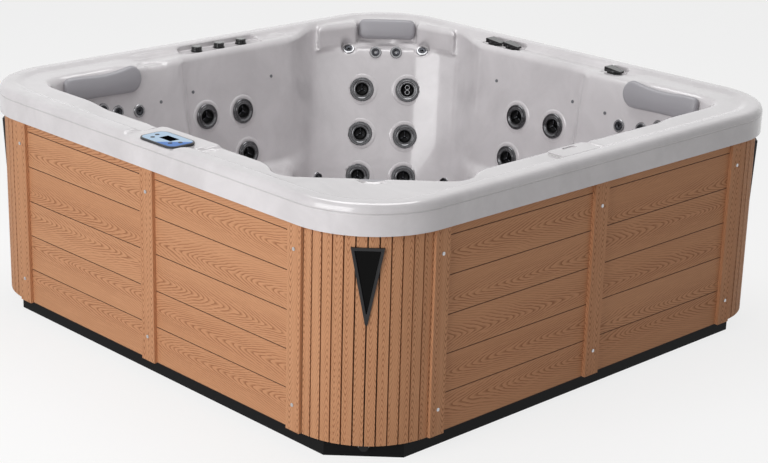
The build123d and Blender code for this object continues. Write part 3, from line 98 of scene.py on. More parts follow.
# Shares of a board's width: where its heart may lie, as a margin and the room beyond it, and how far
# from the heart the lines start to fade and end fading
HEART_ROOM = (0.15, 0.7)
HEART_SHARES = (0.128, 0.416)

# How strongly the patterns show: ranges of a noise from nothing to full, and shares of a colour
CLOUD_RANGE = (0.38, 0.66)
FIBRE_RANGE = (0.25, 0.5)
BOARD_TONE = 0.45
FIBRE_TONE = 0.5
LINE_TONE = 0.8
LINE_FADED = 0.4

# How much of the floor's look is the white backdrop
BACKDROP_SHARE = 0.8


def linear(code):
    """An sRGB hex colour as linear RGBA."""
    parts = [int(code[i : i + 2], 16) / 255 for i in (1, 3, 5)]
    return tuple(c / 12.92 if c <= 0.04045 else ((c + 0.055) / 1.055) ** 2.4 for c in parts) + (1.0,)


def tint(label, what, code):
    """A colour property, its default given as sRGB hex."""
    return FloatVectorProperty(
        name=label, description=what, subtype="COLOR", size=4, min=0, max=1, default=linear(code)
    )


def number(label, what, default, **kind):
    """A number property with its unit or limits."""
    return FloatProperty(name=label, description=what, default=default, **kind)


class ShellSettings(bpy.types.PropertyGroup):
    """Pearl acrylic of the moulded shell, and the pillows on it"""

    pearl: tint("Pearl", "Colour of the acrylic between its clouds", "#CCC8CA")
    cloud: tint("Cloud", "Colour of the faint clouds in the acrylic", "#D9D5D7")
    gloss: number("Roughness", "Roughness of the acrylic under its gloss", 0.2, min=0, max=1)
    skin: tint("Pillow", "Colour of the pillows' skin", "#9C9A9F")


class CabinetSettings(bpy.types.PropertyGroup):
    """Embossed composite boards of the cabinet"""

    board: tint("Board", "Lightest colour of the boards", "#CB9770")
    shade: tint("Shade", "Darker colour that some boards take", "#BC845D")
    grain: tint("Grain", "Colour of the pressed grain lines", "#85502F")
    ring: number("Grain width", "Width of a grain ring on a side board", 0.0085, unit="LENGTH")
    slim_ring: number("Slat grain", "Width of a grain ring on a slat or post", 0.0078, unit="LENGTH")


class StageSettings(bpy.types.PropertyGroup):
    """Floor, lamps and lens"""

    floor_reach: number("Floor", "Half the width of the floor", 40.0, unit="LENGTH")
    floor_tone: tint("Floor colour", "Colour of the floor", "#F2F2F2")
    key_power: number("Key lamp", "Power of the lamp in front of the panel side", 205.0, unit="POWER")
    top_power: number("Top lamp", "Power of the lamp over the tub", 84.0, unit="POWER")
    side_power: number("Side lamp", "Power of the lamp at the filter side", 2.0, unit="POWER")
    sky_power: number("Sky", "Strength of the even light from all round", 0.22, min=0)
    lens: number("Lens", "Focal length of the camera in millimetres", SENSOR * FOCAL_PIXELS / PHOTO_WIDTH)


# Materials: one function adds a node, its settings and its links


def node(tree, kind, *values, **named):
    """Adds a shader node of a kind, followed by its operation where it has one. Values go to its inputs in
    order. What is named is a setting, an input or an input's _number. A node stands for its first output."""
    kind, _, operation = kind.partition(" ")
    made = tree.nodes.new("ShaderNode" + kind)
    if operation:
        made.operation = operation
    for key, value in ({f"_{i}": value for i, value in enumerate(values)} | named).items():
        if hasattr(made, key):
            setattr(made, key, value)
            continue
        socket = made.inputs[int(key[1:]) if key[0] == "_" else key.replace("_", " ")]
        if isinstance(value, bpy.types.Node):
            value = value.outputs[0]
        if isinstance(value, bpy.types.NodeSocket):
            tree.links.new(value, socket)
        else:
            socket.default_value = value
    return made


def per_metre(size):
    """A pattern's scale from the real size of one of its cells in millimetres."""
    return 1 / (size * MM)


def material(name, base, rough=0.5, metal=0.0, **inputs):
    """A plain Principled material."""
    made = bpy.data.materials.new(name)
    made.use_nodes = True
    shader = made.node_tree.nodes["Principled BSDF"]
    shader.inputs["Base Color"].default_value = linear(base)
    shader.inputs["Roughness"].default_value = rough
    shader.inputs["Metallic"].default_value = metal
    for key, value in inputs.items():
        shader.inputs[key.replace("_", " ")].default_value = value
    return made


def place(tree):
    """The object's own coordinates, in metres, and their parts."""
    here = node(tree, "TexCoord").outputs["Object"]
    return here, node(tree, "SeparateXYZ", here).outputs


def lip_crease(tree, parts):
    """1 along the crease that runs round the outside of the lip, and 0 elsewhere. It sets the crease's dip
    and its painted shade.
    """
    start = (HALF - LIP_CORNER) * MM
    past = [node(tree, "Math SUBTRACT", node(tree, "Math ABSOLUTE", parts[k]), start) for k in (0, 1)]
    past = [node(tree, "Math MAXIMUM", part, 0.0) for part in past]
    squares = [node(tree, "Math MULTIPLY", part, part) for part in past]
    reach = node(tree, "Math SQRT", node(tree, "Math ADD", *squares))
    outside = node(tree, "Math GREATER_THAN", reach, (LIP_CORNER - CREASE_DEPTH) * MM)
    off = node(tree, "Math ABSOLUTE", node(tree, "Math SUBTRACT", parts[2], CREASE * MM))
    return node(tree, "Math MULTIPLY", node(tree, "MapRange", off, *CREASE_EDGE, 1.0, 0.0), outside)


def acrylic():
    """Vacuum-formed acrylic: a pale mauve grey with faint clouds, under a clear gloss, and painted shade
    darkening the crease round its lip.
    """
    settings = bpy.context.scene.hottub_shell
    made = material("pearl acrylic", "#D8D4D8", settings.gloss, Coat_Weight=0.6, Coat_Roughness=0.05)
    tree = made.node_tree
    shader = tree.nodes["Principled BSDF"]
    here, parts = place(tree)
    warp = node(tree, "TexNoise", here, Scale=per_metre(CLOUD_WARP), Detail=2.0).outputs["Color"]
    bent = node(tree, "VectorMath MULTIPLY_ADD", warp, (0.5,) * 3, here)
    clouds = node(tree, "TexNoise", bent, Scale=per_metre(CLOUD), Detail=6.0, Roughness=0.62)
    share = node(tree, "MapRange", clouds, *CLOUD_RANGE)
    colour = node(tree, "Mix", share, _6=settings.pearl, _7=settings.cloud, data_type="RGBA").outputs[2]
    crease = lip_crease(tree, parts)
    # Painted shade: the crease is mixed towards a shadowed grey, on top of its real dip
    dark = node(tree, "Math MULTIPLY", crease, CREASE_PAINTED_SHADE)
    colour = node(tree, "Mix", dark, _6=colour, _7=linear("#8F8B8D"), data_type="RGBA").outputs[2]
    tree.links.new(colour, shader.inputs["Base Color"])
    dip = node(tree, "Bump", invert=True, Strength=0.6, Distance=0.002, Height=crease)
    tree.links.new(dip.outputs[0], shader.inputs["Normal"])
    return made


def grain_line(tree, turns):
    """One pressed line in each turn of the rings, which fades by the middle of the turn."""
    line = node(tree, "ValToRGB", turns)
    first, second = line.color_ramp.elements
    first.position, first.color = 0.0, (1, 1, 1, 1)
    second.position, second.color = 0.5, (0, 0, 0, 1)
    for position, tone in ((0.9, 0), (1.0, 1)):
        line.color_ramp.elements.new(position).color = (tone, tone, tone, 1)
    return line


def composite(name, upright):
    """Embossed wood composite: cathedral grain along each board, in darker pressed lines, and matt."""
    settings = bpy.context.scene.hottub_cabinet
    made = material(name, "#C8936E", 0.62, Specular_IOR_Level=0.3)
    tree = made.node_tree
    shader = tree.nodes["Principled BSDF"]
    x, y, z = place(tree)[1]
    hand = node(tree, "Math SIGN", node(tree, "Math MULTIPLY", x, y))
    around = node(tree, "Math SUBTRACT", x, node(tree, "Math MULTIPLY", hand, y))
    if upright:
        along, across, pitch, ring_width = z, around, SLAT_PITCH, settings.slim_ring
        tip, drift, slant = SLAT_GRAIN
    else:
        along, across, pitch = around, node(tree, "Math SUBTRACT", z, BOARD_START), BOARD_PITCH
        ring_width = settings.ring
        tip, drift, slant = BOARD_GRAIN
    # Each board draws its own luck: where its heart lies, how its grain runs and how dark it is
    cell = node(tree, "Math FLOOR", node(tree, "Math DIVIDE", across, pitch))
    side = node(tree, "Math MULTIPLY", node(tree, "Math SIGN", y), 2.0)
    side = node(tree, "Math ADD", node(tree, "Math SIGN", x), side)
    seed = node(tree, "CombineXYZ", cell, side, hand)
    chance = node(tree, "TexWhiteNoise", seed, noise_dimensions="3D").outputs["Color"]
    luck = node(tree, "SeparateColor", chance).outputs
    margin, room_for_heart = (pitch * share for share in HEART_ROOM)
    low_edge = node(tree, "Math MULTIPLY_ADD", cell, pitch, margin)
    heart = node(tree, "Math MULTIPLY_ADD", luck[0], room_for_heart, low_edge)
    off = node(tree, "Math SUBTRACT", across, heart)
    far = node(tree, "Math MULTIPLY_ADD", luck[1], BOARD_SHIFT, along)
    wander = node(tree, "CombineXYZ", far, node(tree, "Math MULTIPLY", across, 3.0), luck[2])
    waves = node(tree, "TexNoise", wander, Scale=per_metre(WAVE), Detail=3.0)
    long, short = (node(tree, "Math MULTIPLY", v, per_metre(size)) for v, size in zip((far, across), FIBRE))
    fine = node(tree, "TexNoise", node(tree, "CombineXYZ", long, short, luck[2]), Scale=1.0, Detail=3.0)
    # Rings round the heart, drawn out along the board into nested arches
    way = node(tree, "Math SIGN", node(tree, "Math SUBTRACT", luck[2], 0.5))
    arch = node(tree, "Math SQRT", node(tree, "Math MULTIPLY_ADD", off, off, tip * tip))
    ring = node(tree, "Math MULTIPLY_ADD", node(tree, "Math MULTIPLY", along, way), slant, arch)
    ring = node(tree, "Math MULTIPLY_ADD", waves, drift, ring)
    turns = node(tree, "Math FRACT", node(tree, "Math MULTIPLY", ring, 1 / ring_width))
    broken = node(tree, "MapRange", fine, *FIBRE_RANGE)
    line = node(tree, "Math MULTIPLY", grain_line(tree, turns), broken)
    near_heart = [pitch * share for share in HEART_SHARES]
    bold = node(tree, "MapRange", node(tree, "Math ABSOLUTE", off), *near_heart, 1.0, LINE_FADED)
    ink = node(tree, "Math MULTIPLY", line, bold)
    tone = node(tree, "Math MULTIPLY", luck[1], BOARD_TONE)
    colour = node(tree, "Mix", tone, _6=settings.board, _7=settings.shade, data_type="RGBA").outputs[2]
    streak = node(tree, "Math MULTIPLY", fine, FIBRE_TONE)
    colour = node(tree, "Mix", streak, _6=colour, _7=linear("#B57F5B"), data_type="RGBA").outputs[2]
    pressed = node(tree, "Math MULTIPLY", ink, LINE_TONE)
    colour = node(tree, "Mix", pressed, _6=colour, _7=settings.grain, data_type="RGBA").outputs[2]
    if not upright:
        to_joint = node(tree, "Math PINGPONG", across, pitch / 2)
        clear = node(tree, "MapRange", to_joint, *BOARD_JOINT)
        colour = node(tree, "Mix", clear, _6=linear("#4A2D1E"), _7=colour, data_type="RGBA").outputs[2]
    tree.links.new(colour, shader.inputs["Base Color"])
    height = node(tree, "Math SUBTRACT", node(tree, "Math MULTIPLY", fine, 0.4), ink)
    bump = node(tree, "Bump", Strength=0.5, Distance=GRAIN_DEPTH, Height=height)
    tree.links.new(bump.outputs[0], shader.inputs["Normal"])
    return made


def vinyl():
    """Skinned foam of the pillows: mid grey with a soft sheen and a fine pressed grain."""
    made = material("pillow skin", "#8D8B90", 0.42, Coat_Weight=0.15, Coat_Roughness=0.35)
    tree = made.node_tree
    shader = tree.nodes["Principled BSDF"]
    shader.inputs["Base Color"].default_value = bpy.context.scene.hottub_shell.skin
    grain = node(tree, "TexVoronoi", place(tree)[0], Scale=per_metre(SKIN_GRAIN))
    bump = node(tree, "Bump", Strength=0.12, Distance=0.0004, Height=grain)
    tree.links.new(bump.outputs[0], shader.inputs["Normal"])
    return made


def overlay():
    """Printed polyester film: matt light blue, with a deeper patch at its right end."""
    made = material("printed film", "#B4CBE0", 0.45, Specular_IOR_Level=0.25)
    tree = made.node_tree
    parts = place(tree)[1]
    low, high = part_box("control_overlay")
    middle, half = (low + high) / 2, (high - low) / 2
    off = [node(tree, "Math SUBTRACT", parts[k], middle[k]) for k in (0, 1)]
    across, up = (node(tree, "Math DIVIDE", part, half[k]) for k, part in enumerate(off))
    slant = node(tree, "Math SUBTRACT", across, node(tree, "Math MULTIPLY", up, 0.5))
    patch = node(tree, "MapRange", slant, 0.5, 0.6)
    film = node(tree, "Mix", patch, _6=linear("#B4CDE4"), _7=linear("#4A7CC6"), data_type="RGBA")
    tree.links.new(film.outputs[2], tree.nodes["Principled BSDF"].inputs["Base Color"])
    return made


def sees_backdrop(tree):
    """1 for camera, glossy and transmission rays, which see the white backdrop."""
    rays = node(tree, "LightPath").outputs
    first = node(tree, "Math MAXIMUM", rays["Is Camera Ray"], rays["Is Glossy Ray"])
    return node(tree, "Math MAXIMUM", first, rays["Is Transmission Ray"])


def backdrop(settings):
    """Matt white floor that shows pale to the camera and keeps the tub's shadow."""
    made = material("floor", "#F2F2F2", 0.9)
    tree = made.node_tree
    shader = tree.nodes["Principled BSDF"]
    shader.inputs["Base Color"].default_value = settings.floor_tone
    glow = node(tree, "Emission", Color=(1, 1, 1, 1), Strength=1.0)
    share = node(tree, "Math MULTIPLY", sees_backdrop(tree), BACKDROP_SHARE)
    both = node(tree, "MixShader", share, shader, glow)
    tree.links.new(both.outputs[0], tree.nodes["Material Output"].inputs[0])
    return made


FINISHES = {}


def finishes():
    """Every material of the tub by the record's slot."""
    if not FINISHES:
        FINISHES.update(
            acrylic=acrylic(),
            composite_board=composite("composite board along", False),
            composite_upright=composite("composite board upright", True),
            pillow_vinyl=vinyl(),
            overlay_film=overlay(),
            # Vacuum-formed ABS of the pan: black and dull, with hardly a highlight
            pan_plastic=material("black pan plastic", "#070708", 0.65, Specular_IOR_Level=0.15),
            # Sawn softwood: pale and matt
            timber=material("sawn timber", "#C2A57C", 0.7),
            # Stainless steel, brushed: bright, with soft reflections
            stainless=material("stainless steel", "#C6C7C9", 0.28, 1.0),
            # Moulded black plastics: satin on valves, covers and pump, greyer and duller on the wedge lights
            black_plastic=material("black plastic", "#0D0D0E", 0.4, Specular_IOR_Level=0.3),
            bezel=material("black bezel", "#19191B", 0.45, Specular_IOR_Level=0.4),
            # Smoked polycarbonate: black from outside, smooth and little reflecting
            smoked_lens=material("smoked lens", "#020202", 0.06, Specular_IOR_Level=0.1),
            # Clear lens over a dark cup: mid grey under a gloss
            clear_lens=material("clear lens", "#6F7074", 0.12, Coat_Weight=0.6),
            # Closed-cell polyurethane: cream and fully matt
            foam=material("closed-cell foam", "#D9CFB2", 0.9),
            # Chromed plastics: dark in the cups and rings, brighter on the small jets
            graphite_metal=material("graphite chrome", "#3B3C40", 0.25, 0.9),
            jet_ring=material("dark chrome", "#626264", 0.14, 1.0),
            bright_ring=material("bright chrome", "#8E8E90", 0.26, 1.0),
            # Moulded nozzle plastic: so black that the cup reads as a hole
            nozzle=material("nozzle plastic", "#070708", 0.45, Specular_IOR_Level=0.2),
            # PVC pipe: off-white and satin
            pipe_plastic=material("pipe plastic", "#DCDCD6", 0.4),
            # Polished ABS of the knobs and levers: black with sharp highlights
            gloss_black=material("gloss black ABS", "#0D0D0F", 0.16, Coat_Weight=0.5),
            # Moulded ABS of the panel's rim: charcoal with a soft sheen
            panel_rim=material("charcoal ABS", "#232427", 0.35),
            # Display window: black, its shine left out so that it stays dark from low down
            screen_glass=material("screen glass", "#040507", 0.3, Specular_IOR_Level=0.0),
            # Silicone keys: dark grey and soft
            key_rubber=material("key rubber", "#3B4048", 0.6),
            # Moulded white ABS of the skimmer: clean and satin
            white_plastic=material("white ABS", "#DCDCDA", 0.42),
            # Pleated polyester cloth: off-white and fully matt
            pleated_paper=material("pleated polyester", "#E8E8E2", 0.9),
            # Sprayed enamel of the motor: near black and satin
            motor_paint=material("motor enamel", "#1D1F22", 0.45),
            # Moulded grey ABS of the control box: plain and matt
            grey_plastic=material("grey ABS", "#77797B", 0.5),
        )
    return FINISHES


# The moulded shell's form in millimetres. A wall is its bearing in degrees, its reach at brim height and
# its lean in degrees. A space is its walls, its floor's height and the fillets between and below the walls.
BENCH = (345, 45, 34)
SEAT = (300, 45, 34)
STEP = (430, 45, 34)
SPACES = {
    "left_bench": ([(45, -355, 0), (180, 980, 8), (270, 235, 0), (360, -380, 0)], *BENCH),
    "right_bench": ([(90, 980, 8), (225, -355, 0), (270, -380, 0), (360, 235, 0)], *BENCH),
    "left_seat": (
        [(0, -155, 0), (90, -190, 0), (180, 946, 10), (225, 1300, 18), (270, 946, 10)],
        *SEAT,
    ),
    "right_seat": (
        [(0, 946, 10), (45, 1300, 18), (90, 946, 10), (180, -190, 0), (270, -155, 0)],
        *SEAT,
    ),
    "back_seat": (
        [(45, 400, 1), (90, 1060, 14), (135, 1250, 18), (180, 1060, 14), (225, 400, 1), (315, -230, 0)],
        *(145, 90, 40),
    ),
    "front_seat": ([(45, 340, 1), (135, -280, 0), (225, 340, 1), (315, 1110, 18)], 240, 90, 40),
    "front_step": ([(45, -295, 0), (180, 200, 0), (270, 940, 8)], *STEP),
    "right_step": ([(0, 940, 8), (90, 200, 0), (225, -295, 0)], *STEP),
    "footwell": ([(b, r, 7) for t in range(4) for b, r in ((t * 90, 495), (t * 90 + 45, 610))], 95, 90, 34),
}
SEAT_BACK = ([(45, 311, 0), (90, 1072, 0), (180, 1072, 0), (225, 311, 0), (315, -1090, 0)], 790, 12.0, 6.0)
HEADREST = (
    [(45, 311, 0), (101.6, 1133.5, 4), (135, 1320, 0), (168.4, 1133.5, 4), (225, 311, 0), (315, -230, 0)],
    *(790, 26.0, 14.0),
)
RECESS = ([(45, 138, 0), (135, 1335, 18), (225, 138, 0), (315, -1100, 0)], 805, 22.0, 10.0)

# The rim: round of its crest, its width, the deck's level and how far the corners rise or fall from that
CREST_ROUND = 32.0
RIM_WIDTH = 68.0
DECK = 890
SIDE_RISE = 13
BACK_RISE = 12
FRONT_FALL = 13

# On the deck: the control panel's pad, the shelf by the filter, the dish by the air controls and the
# trays of the air controls and diverters. The shelf and a tray are their centre and half sizes, and
# their corners have one round.
PAD_RISE = 13
PAD_DROP = 12
SHELF = (1030, 396, 55, 304)
SHELF_RISE = 10
DISH_DEPTH = 6
TRAYS = ((-1047, 40, 36, 215), (-298, 1045, 105, 40), (330, 1045, 50, 40))
TRAY_DEPTH = 5
DECK_ROUND = 24


def meet(parts, radius):
    """Rounded intersection: the largest of the distances, with a fillet where two are near."""
    worst = parts[0]
    total = np.maximum(parts[0] + radius, 0) ** 2
    for part in parts[1:]:
        worst = np.maximum(worst, part)
        total = total + np.maximum(part + radius, 0) ** 2
    return np.minimum(-radius, worst) + np.sqrt(total)


def join(a, b, width):
    """Soft union of two distances."""
    share = np.maximum(width - np.abs(a - b), 0) / width
    return np.minimum(a, b) - share * share * width / 4


def wall(x, y, z, bearing, reach, lean):
    """Distance outward from a leaning wall."""
    a, b = math.radians(bearing), math.radians(lean)
    return (x * math.cos(a) + y * math.sin(a) - reach + (BRIM - z) * math.tan(b)) * math.cos(b)


def rounded_square(x, y, half_x, half_y, radius):
    """Distance outward from a rounded rectangle round the origin."""
    across, along = np.abs(x) - half_x + radius, np.abs(y) - half_y + radius
    inside = np.minimum(np.maximum(across, along), 0)
    return inside + np.hypot(np.maximum(across, 0), np.maximum(along, 0)) - radius


def ball(a, b, c, sizes):
    """Distance outward from a stretched ball of three half sizes, measured along the last of them."""
    wide, deep, high = sizes
    return (np.hypot(np.hypot(a / wide, b / deep), c / high) - 1) * high


def room(x, y, z, walls, low, corner, foot):
    """Distance outward from a space between leaning walls, over its floor, with its fillets."""
    return meet([meet([wall(x, y, z, *w) for w in walls], corner), low - z], foot)


def ease(value, start, end):
    """0 at start and 1 at end, with a smooth step between."""
    share = np.clip((value - start) / (end - start), 0, 1)
    return share * share * (3 - 2 * share)


def deck_height(x, y):
    """The deck inside the crest: raised at the pillow corners, falling into the tub at the front one."""
    out, side = (x - y) / 2**0.5, (x + y) / 2**0.5
    height = DECK + SIDE_RISE * ease(np.abs(side), 1010, 1110) + BACK_RISE * ease(-out, 1050, 1160)
    fall = ease(360 - np.abs(side), 0, 130) * np.clip((1400 - out) / 260, 0, 1.2) * ease(out, 900, 1000)
    return height - FRONT_FALL * fall


def shell_field(x, y, z):
    """Distance outward from the moulded shell, as if it were solid below its surface."""
    edge = rounded_square(x, y, HALF, HALF, LIP_CORNER)
    body = meet([edge, z - TOP], CREST_ROUND)
    # The pad shifts and widens towards the tub
    inward = y + 1050
    pad = rounded_square(x - 25 - inward * 0.12, y + 1075, 158 + inward * 0.18, 118, 30)
    body = meet([body, z - TOP + PAD_DROP * ease(-pad, -6, 10)], 8.0)
    floor = np.maximum(deck_height(x, y), DECK + PAD_RISE * ease(-pad, -9, 9))
    shelf_x, shelf_y, half_x, half_y = SHELF
    shelf = rounded_square(x - shelf_x, y - shelf_y, half_x, half_y, DECK_ROUND)
    floor = np.maximum(floor, DECK + SHELF_RISE * ease(-shelf, -8, 8))
    dish = np.hypot((x + 968 - (y + 385) * 0.25) / 26, (y + 385) / 66)
    floor = floor - DISH_DEPTH * ease(1 - dish, -0.08, 0.2)
    trays = [rounded_square(x - cx, y - cy, hx, hy, DECK_ROUND) for cx, cy, hx, hy in TRAYS]
    for tray in trays:
        floor = floor - TRAY_DEPTH * ease(-tray, -3, 4)
    slope = (edge + RIM_WIDTH - (z - TOP)) / 2**0.5
    sunk = meet([slope, floor - z], 12.0)
    for tray in trays:
        sunk = join(sunk, meet([tray, DECK - TRAY_DEPTH - z], 3.0), 4.0)
    air = None
    for space in SPACES.values():
        hollow = room(x, y, z, *space)
        air = hollow if air is None else join(air, hollow, 46.0)
    air = meet([air, -room(x, y, z, *SEAT_BACK)], 14.0)
    air = join(air, room(x, y, z, *HEADREST), 22.0)
    air = join(air, room(x, y, z, *RECESS), 14.0)
    for neck_jet in SMALL_JETS[-2:]:
        local = on_wall(*neck_jet)
        u, v, w = (sum((p - local[k, 3]) * local[k, i] for k, p in enumerate((x, y, z))) for i in range(3))
        air = join(air, meet([np.hypot(u, v) - NECK_SEAT[0], -w, w - NECK_SEAT[1]], 5.0), 9.0)
    shell = meet([meet([body, -sunk], 10.0), -air], 24.0)
    # A fin beyond the air controls, then a scoop with a bump on each side of it at the front corner
    fin = ball(x + 1056, y - 372 - (x + 1056) * 0.4, z - 886, (20, 42, 13))
    shell = join(shell, fin, 8.0)
    out, side = (x - y) / 2**0.5, (x + y) / 2**0.5
    shell = meet([shell, -ball(side, out - 1150, z - 884, (46, 34, 15))], 6.0)
    return join(shell, ball(np.abs(side) - 56, out - 1168, z - 872, (20, 22, 18)), 8.0)


def grid_lines(steps):
    """Positions along an axis, from (start, end, spacing) runs."""
    lines = []
    for start, end, spacing in steps:
        count = max(1, round((end - start) / spacing))
        lines += [start + (end - start) * i / count for i in range(count)]
    return np.array(lines + [steps[-1][1]])


# The four cells round an edge of the grid, as steps along the two other axes
CELL_RING = ((0, 0), (-1, 0), (-1, -1), (0, -1))


def cells_beside(index, axes, steps, shape):
    """The cells one of the ring's steps away from edges, and which of them lie in the grid."""
    cells = index.copy()
    for axis, step in zip(axes, steps):
        cells[:, axis] += step
    return cells, np.all((cells >= 0) & (cells < np.array(shape)), 1)


def surface(field, xs, ys, zs):
    """The field's zero surface as vertices and quads, by surface nets on an uneven grid."""
    values = np.empty((len(xs), len(ys), len(zs)), np.float32)
    for i in range(0, len(xs), 16):
        block = np.meshgrid(xs[i : i + 16], ys, zs, indexing="ij")
        values[i : i + 16] = field(*block)
    inside = values < 0
    total = np.zeros(tuple(n - 1 for n in values.shape) + (3,), np.float32)
    count = np.zeros(total.shape[:3], np.int16)
    lines = (xs, ys, zs)
    edges = []
    for axis in range(3):
        low = [slice(None)] * 3
        high = [slice(None)] * 3
        low[axis], high[axis] = slice(0, -1), slice(1, None)
        a, b = values[tuple(low)], values[tuple(high)]
        crossing = inside[tuple(low)] != inside[tuple(high)]
        index = np.argwhere(crossing)
        va, vb = a[crossing], b[crossing]
        share = va / (va - vb)
        point = np.stack([lines[k][index[:, k]] for k in range(3)], 1).astype(np.float32)
        step = lines[axis][index[:, axis] + 1] - lines[axis][index[:, axis]]
        point[:, axis] += share * step
        others = [k for k in range(3) if k != axis]
        # Each crossed edge gives its point to the four cells round it
        for steps in CELL_RING:
            cells, fine = cells_beside(index, others, steps, count.shape)
            spot = tuple(cells[fine].T)
            np.add.at(total, spot, point[fine])
            np.add.at(count, spot, 1)
        edges.append((index, inside[tuple(low)][crossing], others))
    used = count > 0
    order = np.full(count.shape, -1, np.int64)
    order[used] = np.arange(used.sum())
    points = total[used] / count[used][:, None]
    # A quad joins the four cells round each crossed edge, turned to face out
    quads = []
    for index, filled, others in edges:
        ring = []
        good = np.ones(len(index), bool)
        for steps in CELL_RING:
            cells, fine = cells_beside(index, others, steps, count.shape)
            good &= fine
            ring.append(cells)
        face = np.stack([order[tuple(cells[good].T)] for cells in ring], 1)
        flip = filled[good] if others != [0, 2] else ~filled[good]
        face[~flip] = face[~flip][:, ::-1]
        quads.append(face)
    return points, np.concatenate(quads)


def slopes(field, points, step=0.5):
    """The field's value and gradient at points."""
    places = points.T.astype(np.float64)
    shifts = step * np.eye(3)[:, :, None]
    grad = [(field(*(places + shift)) - field(*(places - shift))) / (2 * step) for shift in shifts]
    return field(*places), np.stack(grad, 1)


def on_wall(wall_of, along, height):
    """A place on a leaning wall as a matrix: X along it to the right, Y up it and Z into the tub."""
    bearing, reach, lean = wall_of
    a, b = math.radians(bearing), math.radians(lean)
    out = Vector((math.cos(a), math.sin(a), 0))
    right = Vector((math.sin(a), -math.cos(a), 0))
    inward = Vector((-math.cos(a) * math.cos(b), -math.sin(a) * math.cos(b), math.sin(b)))
    start = out * (reach - (BRIM - height) * math.tan(b)) + right * along
    start.z = height
    made = Matrix((right, inward.cross(right), inward)).transposed().to_4x4()
    made.translation = start
    return np.array(made)


def along_axis(place_of, axis):
    """A matrix whose Z axis is the given one."""
    turn = Vector(axis).to_track_quat("Z", "Y").to_matrix().to_4x4()
    turn.translation = Vector(place_of)
    return np.array(turn)


def lathe(profile, matrix, steps=64):
    """A ring's points and quads: a profile of (radius, height) turned round a matrix's Z axis."""
    turn = np.linspace(0, 2 * np.pi, steps, endpoint=False)
    rings = [np.stack([r * np.cos(turn), r * np.sin(turn), np.full(steps, float(h))], 1) for r, h in profile]
    points = np.concatenate(rings) @ matrix[:3, :3].T + matrix[:3, 3]
    k = np.arange(steps)
    n = (k + 1) % steps
    quads = [
        np.stack([i * steps + k, i * steps + n, (i + 1) * steps + n, (i + 1) * steps + k], 1)
        for i in range(len(profile) - 1)
    ]
    return points, np.concatenate(quads)


def hole_share(local, half_x, half_y):
    """How far out points lie in a hole, 1 on its edge. The hole is round where half_y is None."""
    if half_y is None:
        return np.hypot(local[:, 0], local[:, 1]) / half_x
    return np.maximum(np.abs(local[:, 0]) / half_x, np.abs(local[:, 1]) / half_y)


def bore(points, quads, matrix, half_x, half_y=None, depth=30.0):
    """Cuts a round hole, or a rectangular one where half_y is given, and snaps its edge to that outline."""
    local = (points - matrix[:3, 3]) @ matrix[:3, :3]
    near = np.abs(local[:, 2]) < depth
    size = hole_share(local, half_x, half_y)
    middle = local[quads].mean(1)
    cut = (hole_share(middle, half_x, half_y) < 1) & (np.abs(middle[:, 2]) < depth)
    quads = quads[~cut]
    inside = near & (size < 1) & np.isin(np.arange(len(points)), quads)
    if half_y is None:
        local[inside, :2] /= size[inside, None]
    else:
        u, v = local[inside, 0] / half_x, local[inside, 1] / half_y
        wide = np.abs(u) > np.abs(v)
        u = np.where(wide, np.sign(u), u)
        v = np.where(wide, v, np.sign(v))
        local[inside, 0], local[inside, 1] = u * half_x, v * half_y
    points = points.copy()
    points[inside] = local[inside] @ matrix[:3, :3].T + matrix[:3, 3]
    return points, quads


def mesh_of(name, points, quads, finish, body="tub", slot=None):
    """A piece from points in millimetres and faces, riding on a body."""
    mesh = bpy.data.meshes.new(name)
    used, index = np.unique(quads, return_inverse=True)
    mesh.from_pydata((points[used] * MM).tolist(), [], index.reshape(quads.shape).tolist())
    mesh.validate()
    mesh.materials.append(finishes()[finish])
    mesh.polygons.foreach_set("use_smooth", [True] * len(mesh.polygons))
    made = bpy.data.objects.new(name, mesh)
    bpy.context.scene.collection.objects.link(made)
    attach(made, body)
    slot or finish
    return made, used


# Jets: a profile is (radius, height) pairs in millimetres, turned round the jet's axis
JETS_PER_WALL = {"left": 3, "back": 6, "right": 3}
LARGE_JETS = [f"{side}_jet_{i}" for side, n in JETS_PER_WALL.items() for i in range(1, n + 1)]
DOUBLE_JET = "back_jet_2"
FACE_PROUD = 4.9
LARGE_HOLE = 55
SMALL_HOLE = 21
JET_PAD = [
    (76, -0.6), (72, 0.1), (69.5, 1.2), (67.5, 2.2), (64, 2.6), (60, 2.6), (57.5, 2.2), (45.6, 2.2),
    (45.5, -6),
]
FACE_RING = [
    (44.8, 0), (45, 1), (45, 5), (44.2, 6.5), (42.8, 7), (41.2, 6.2), (38.8, 3.6), (36.8, 2.6),
    (34.9, 3.0), (33.8, 3.8), (32.6, 3.2),
]
FACE_CUP = [(32.6, 3.2), (31.6, 1.0), (30.6, -2), (27, -13), (21, -17), (8, -18), (0.01, -18)]
NOZZLE = [(0.01, 1.4), (2.6, 1.2), (4.4, 0), (5, -2.4), (5, -16)]
NOZZLE_ARM = ((4, -1.5, -12), (29.5, 1.5, -3))
TWIN_NOZZLE = [
    (7.6, 0.4), (8.2, 2.6), (9.8, 3.6), (11.4, 2.6), (12.0, 0.4), (12.0, -14), (7.6, -14), (7.6, 0.4),
]
TWIN_SHIFT = 11.4
TWIN_RINGS = (
    [(31.9, 2.4), (33.2, 4.6), (34.6, 4.8), (35.6, 3.0)],
    [(39.6, 4.6), (41.2, 6.4), (42.8, 7.0), (44.6, 6.2)],
)
SMALL_INSERT_STEPS = 40
SMALL_INSERT = [(17.6, 2.6), (17.2, 4.0), (15.6, 4.5), (11, 3.3), (8, 3.0), (7, 2.4), (7, -11)]

# The two neck jets sit in round seats of this radius and depth, sunk in their slanting shelf
NECK_SEAT = (33, 80)

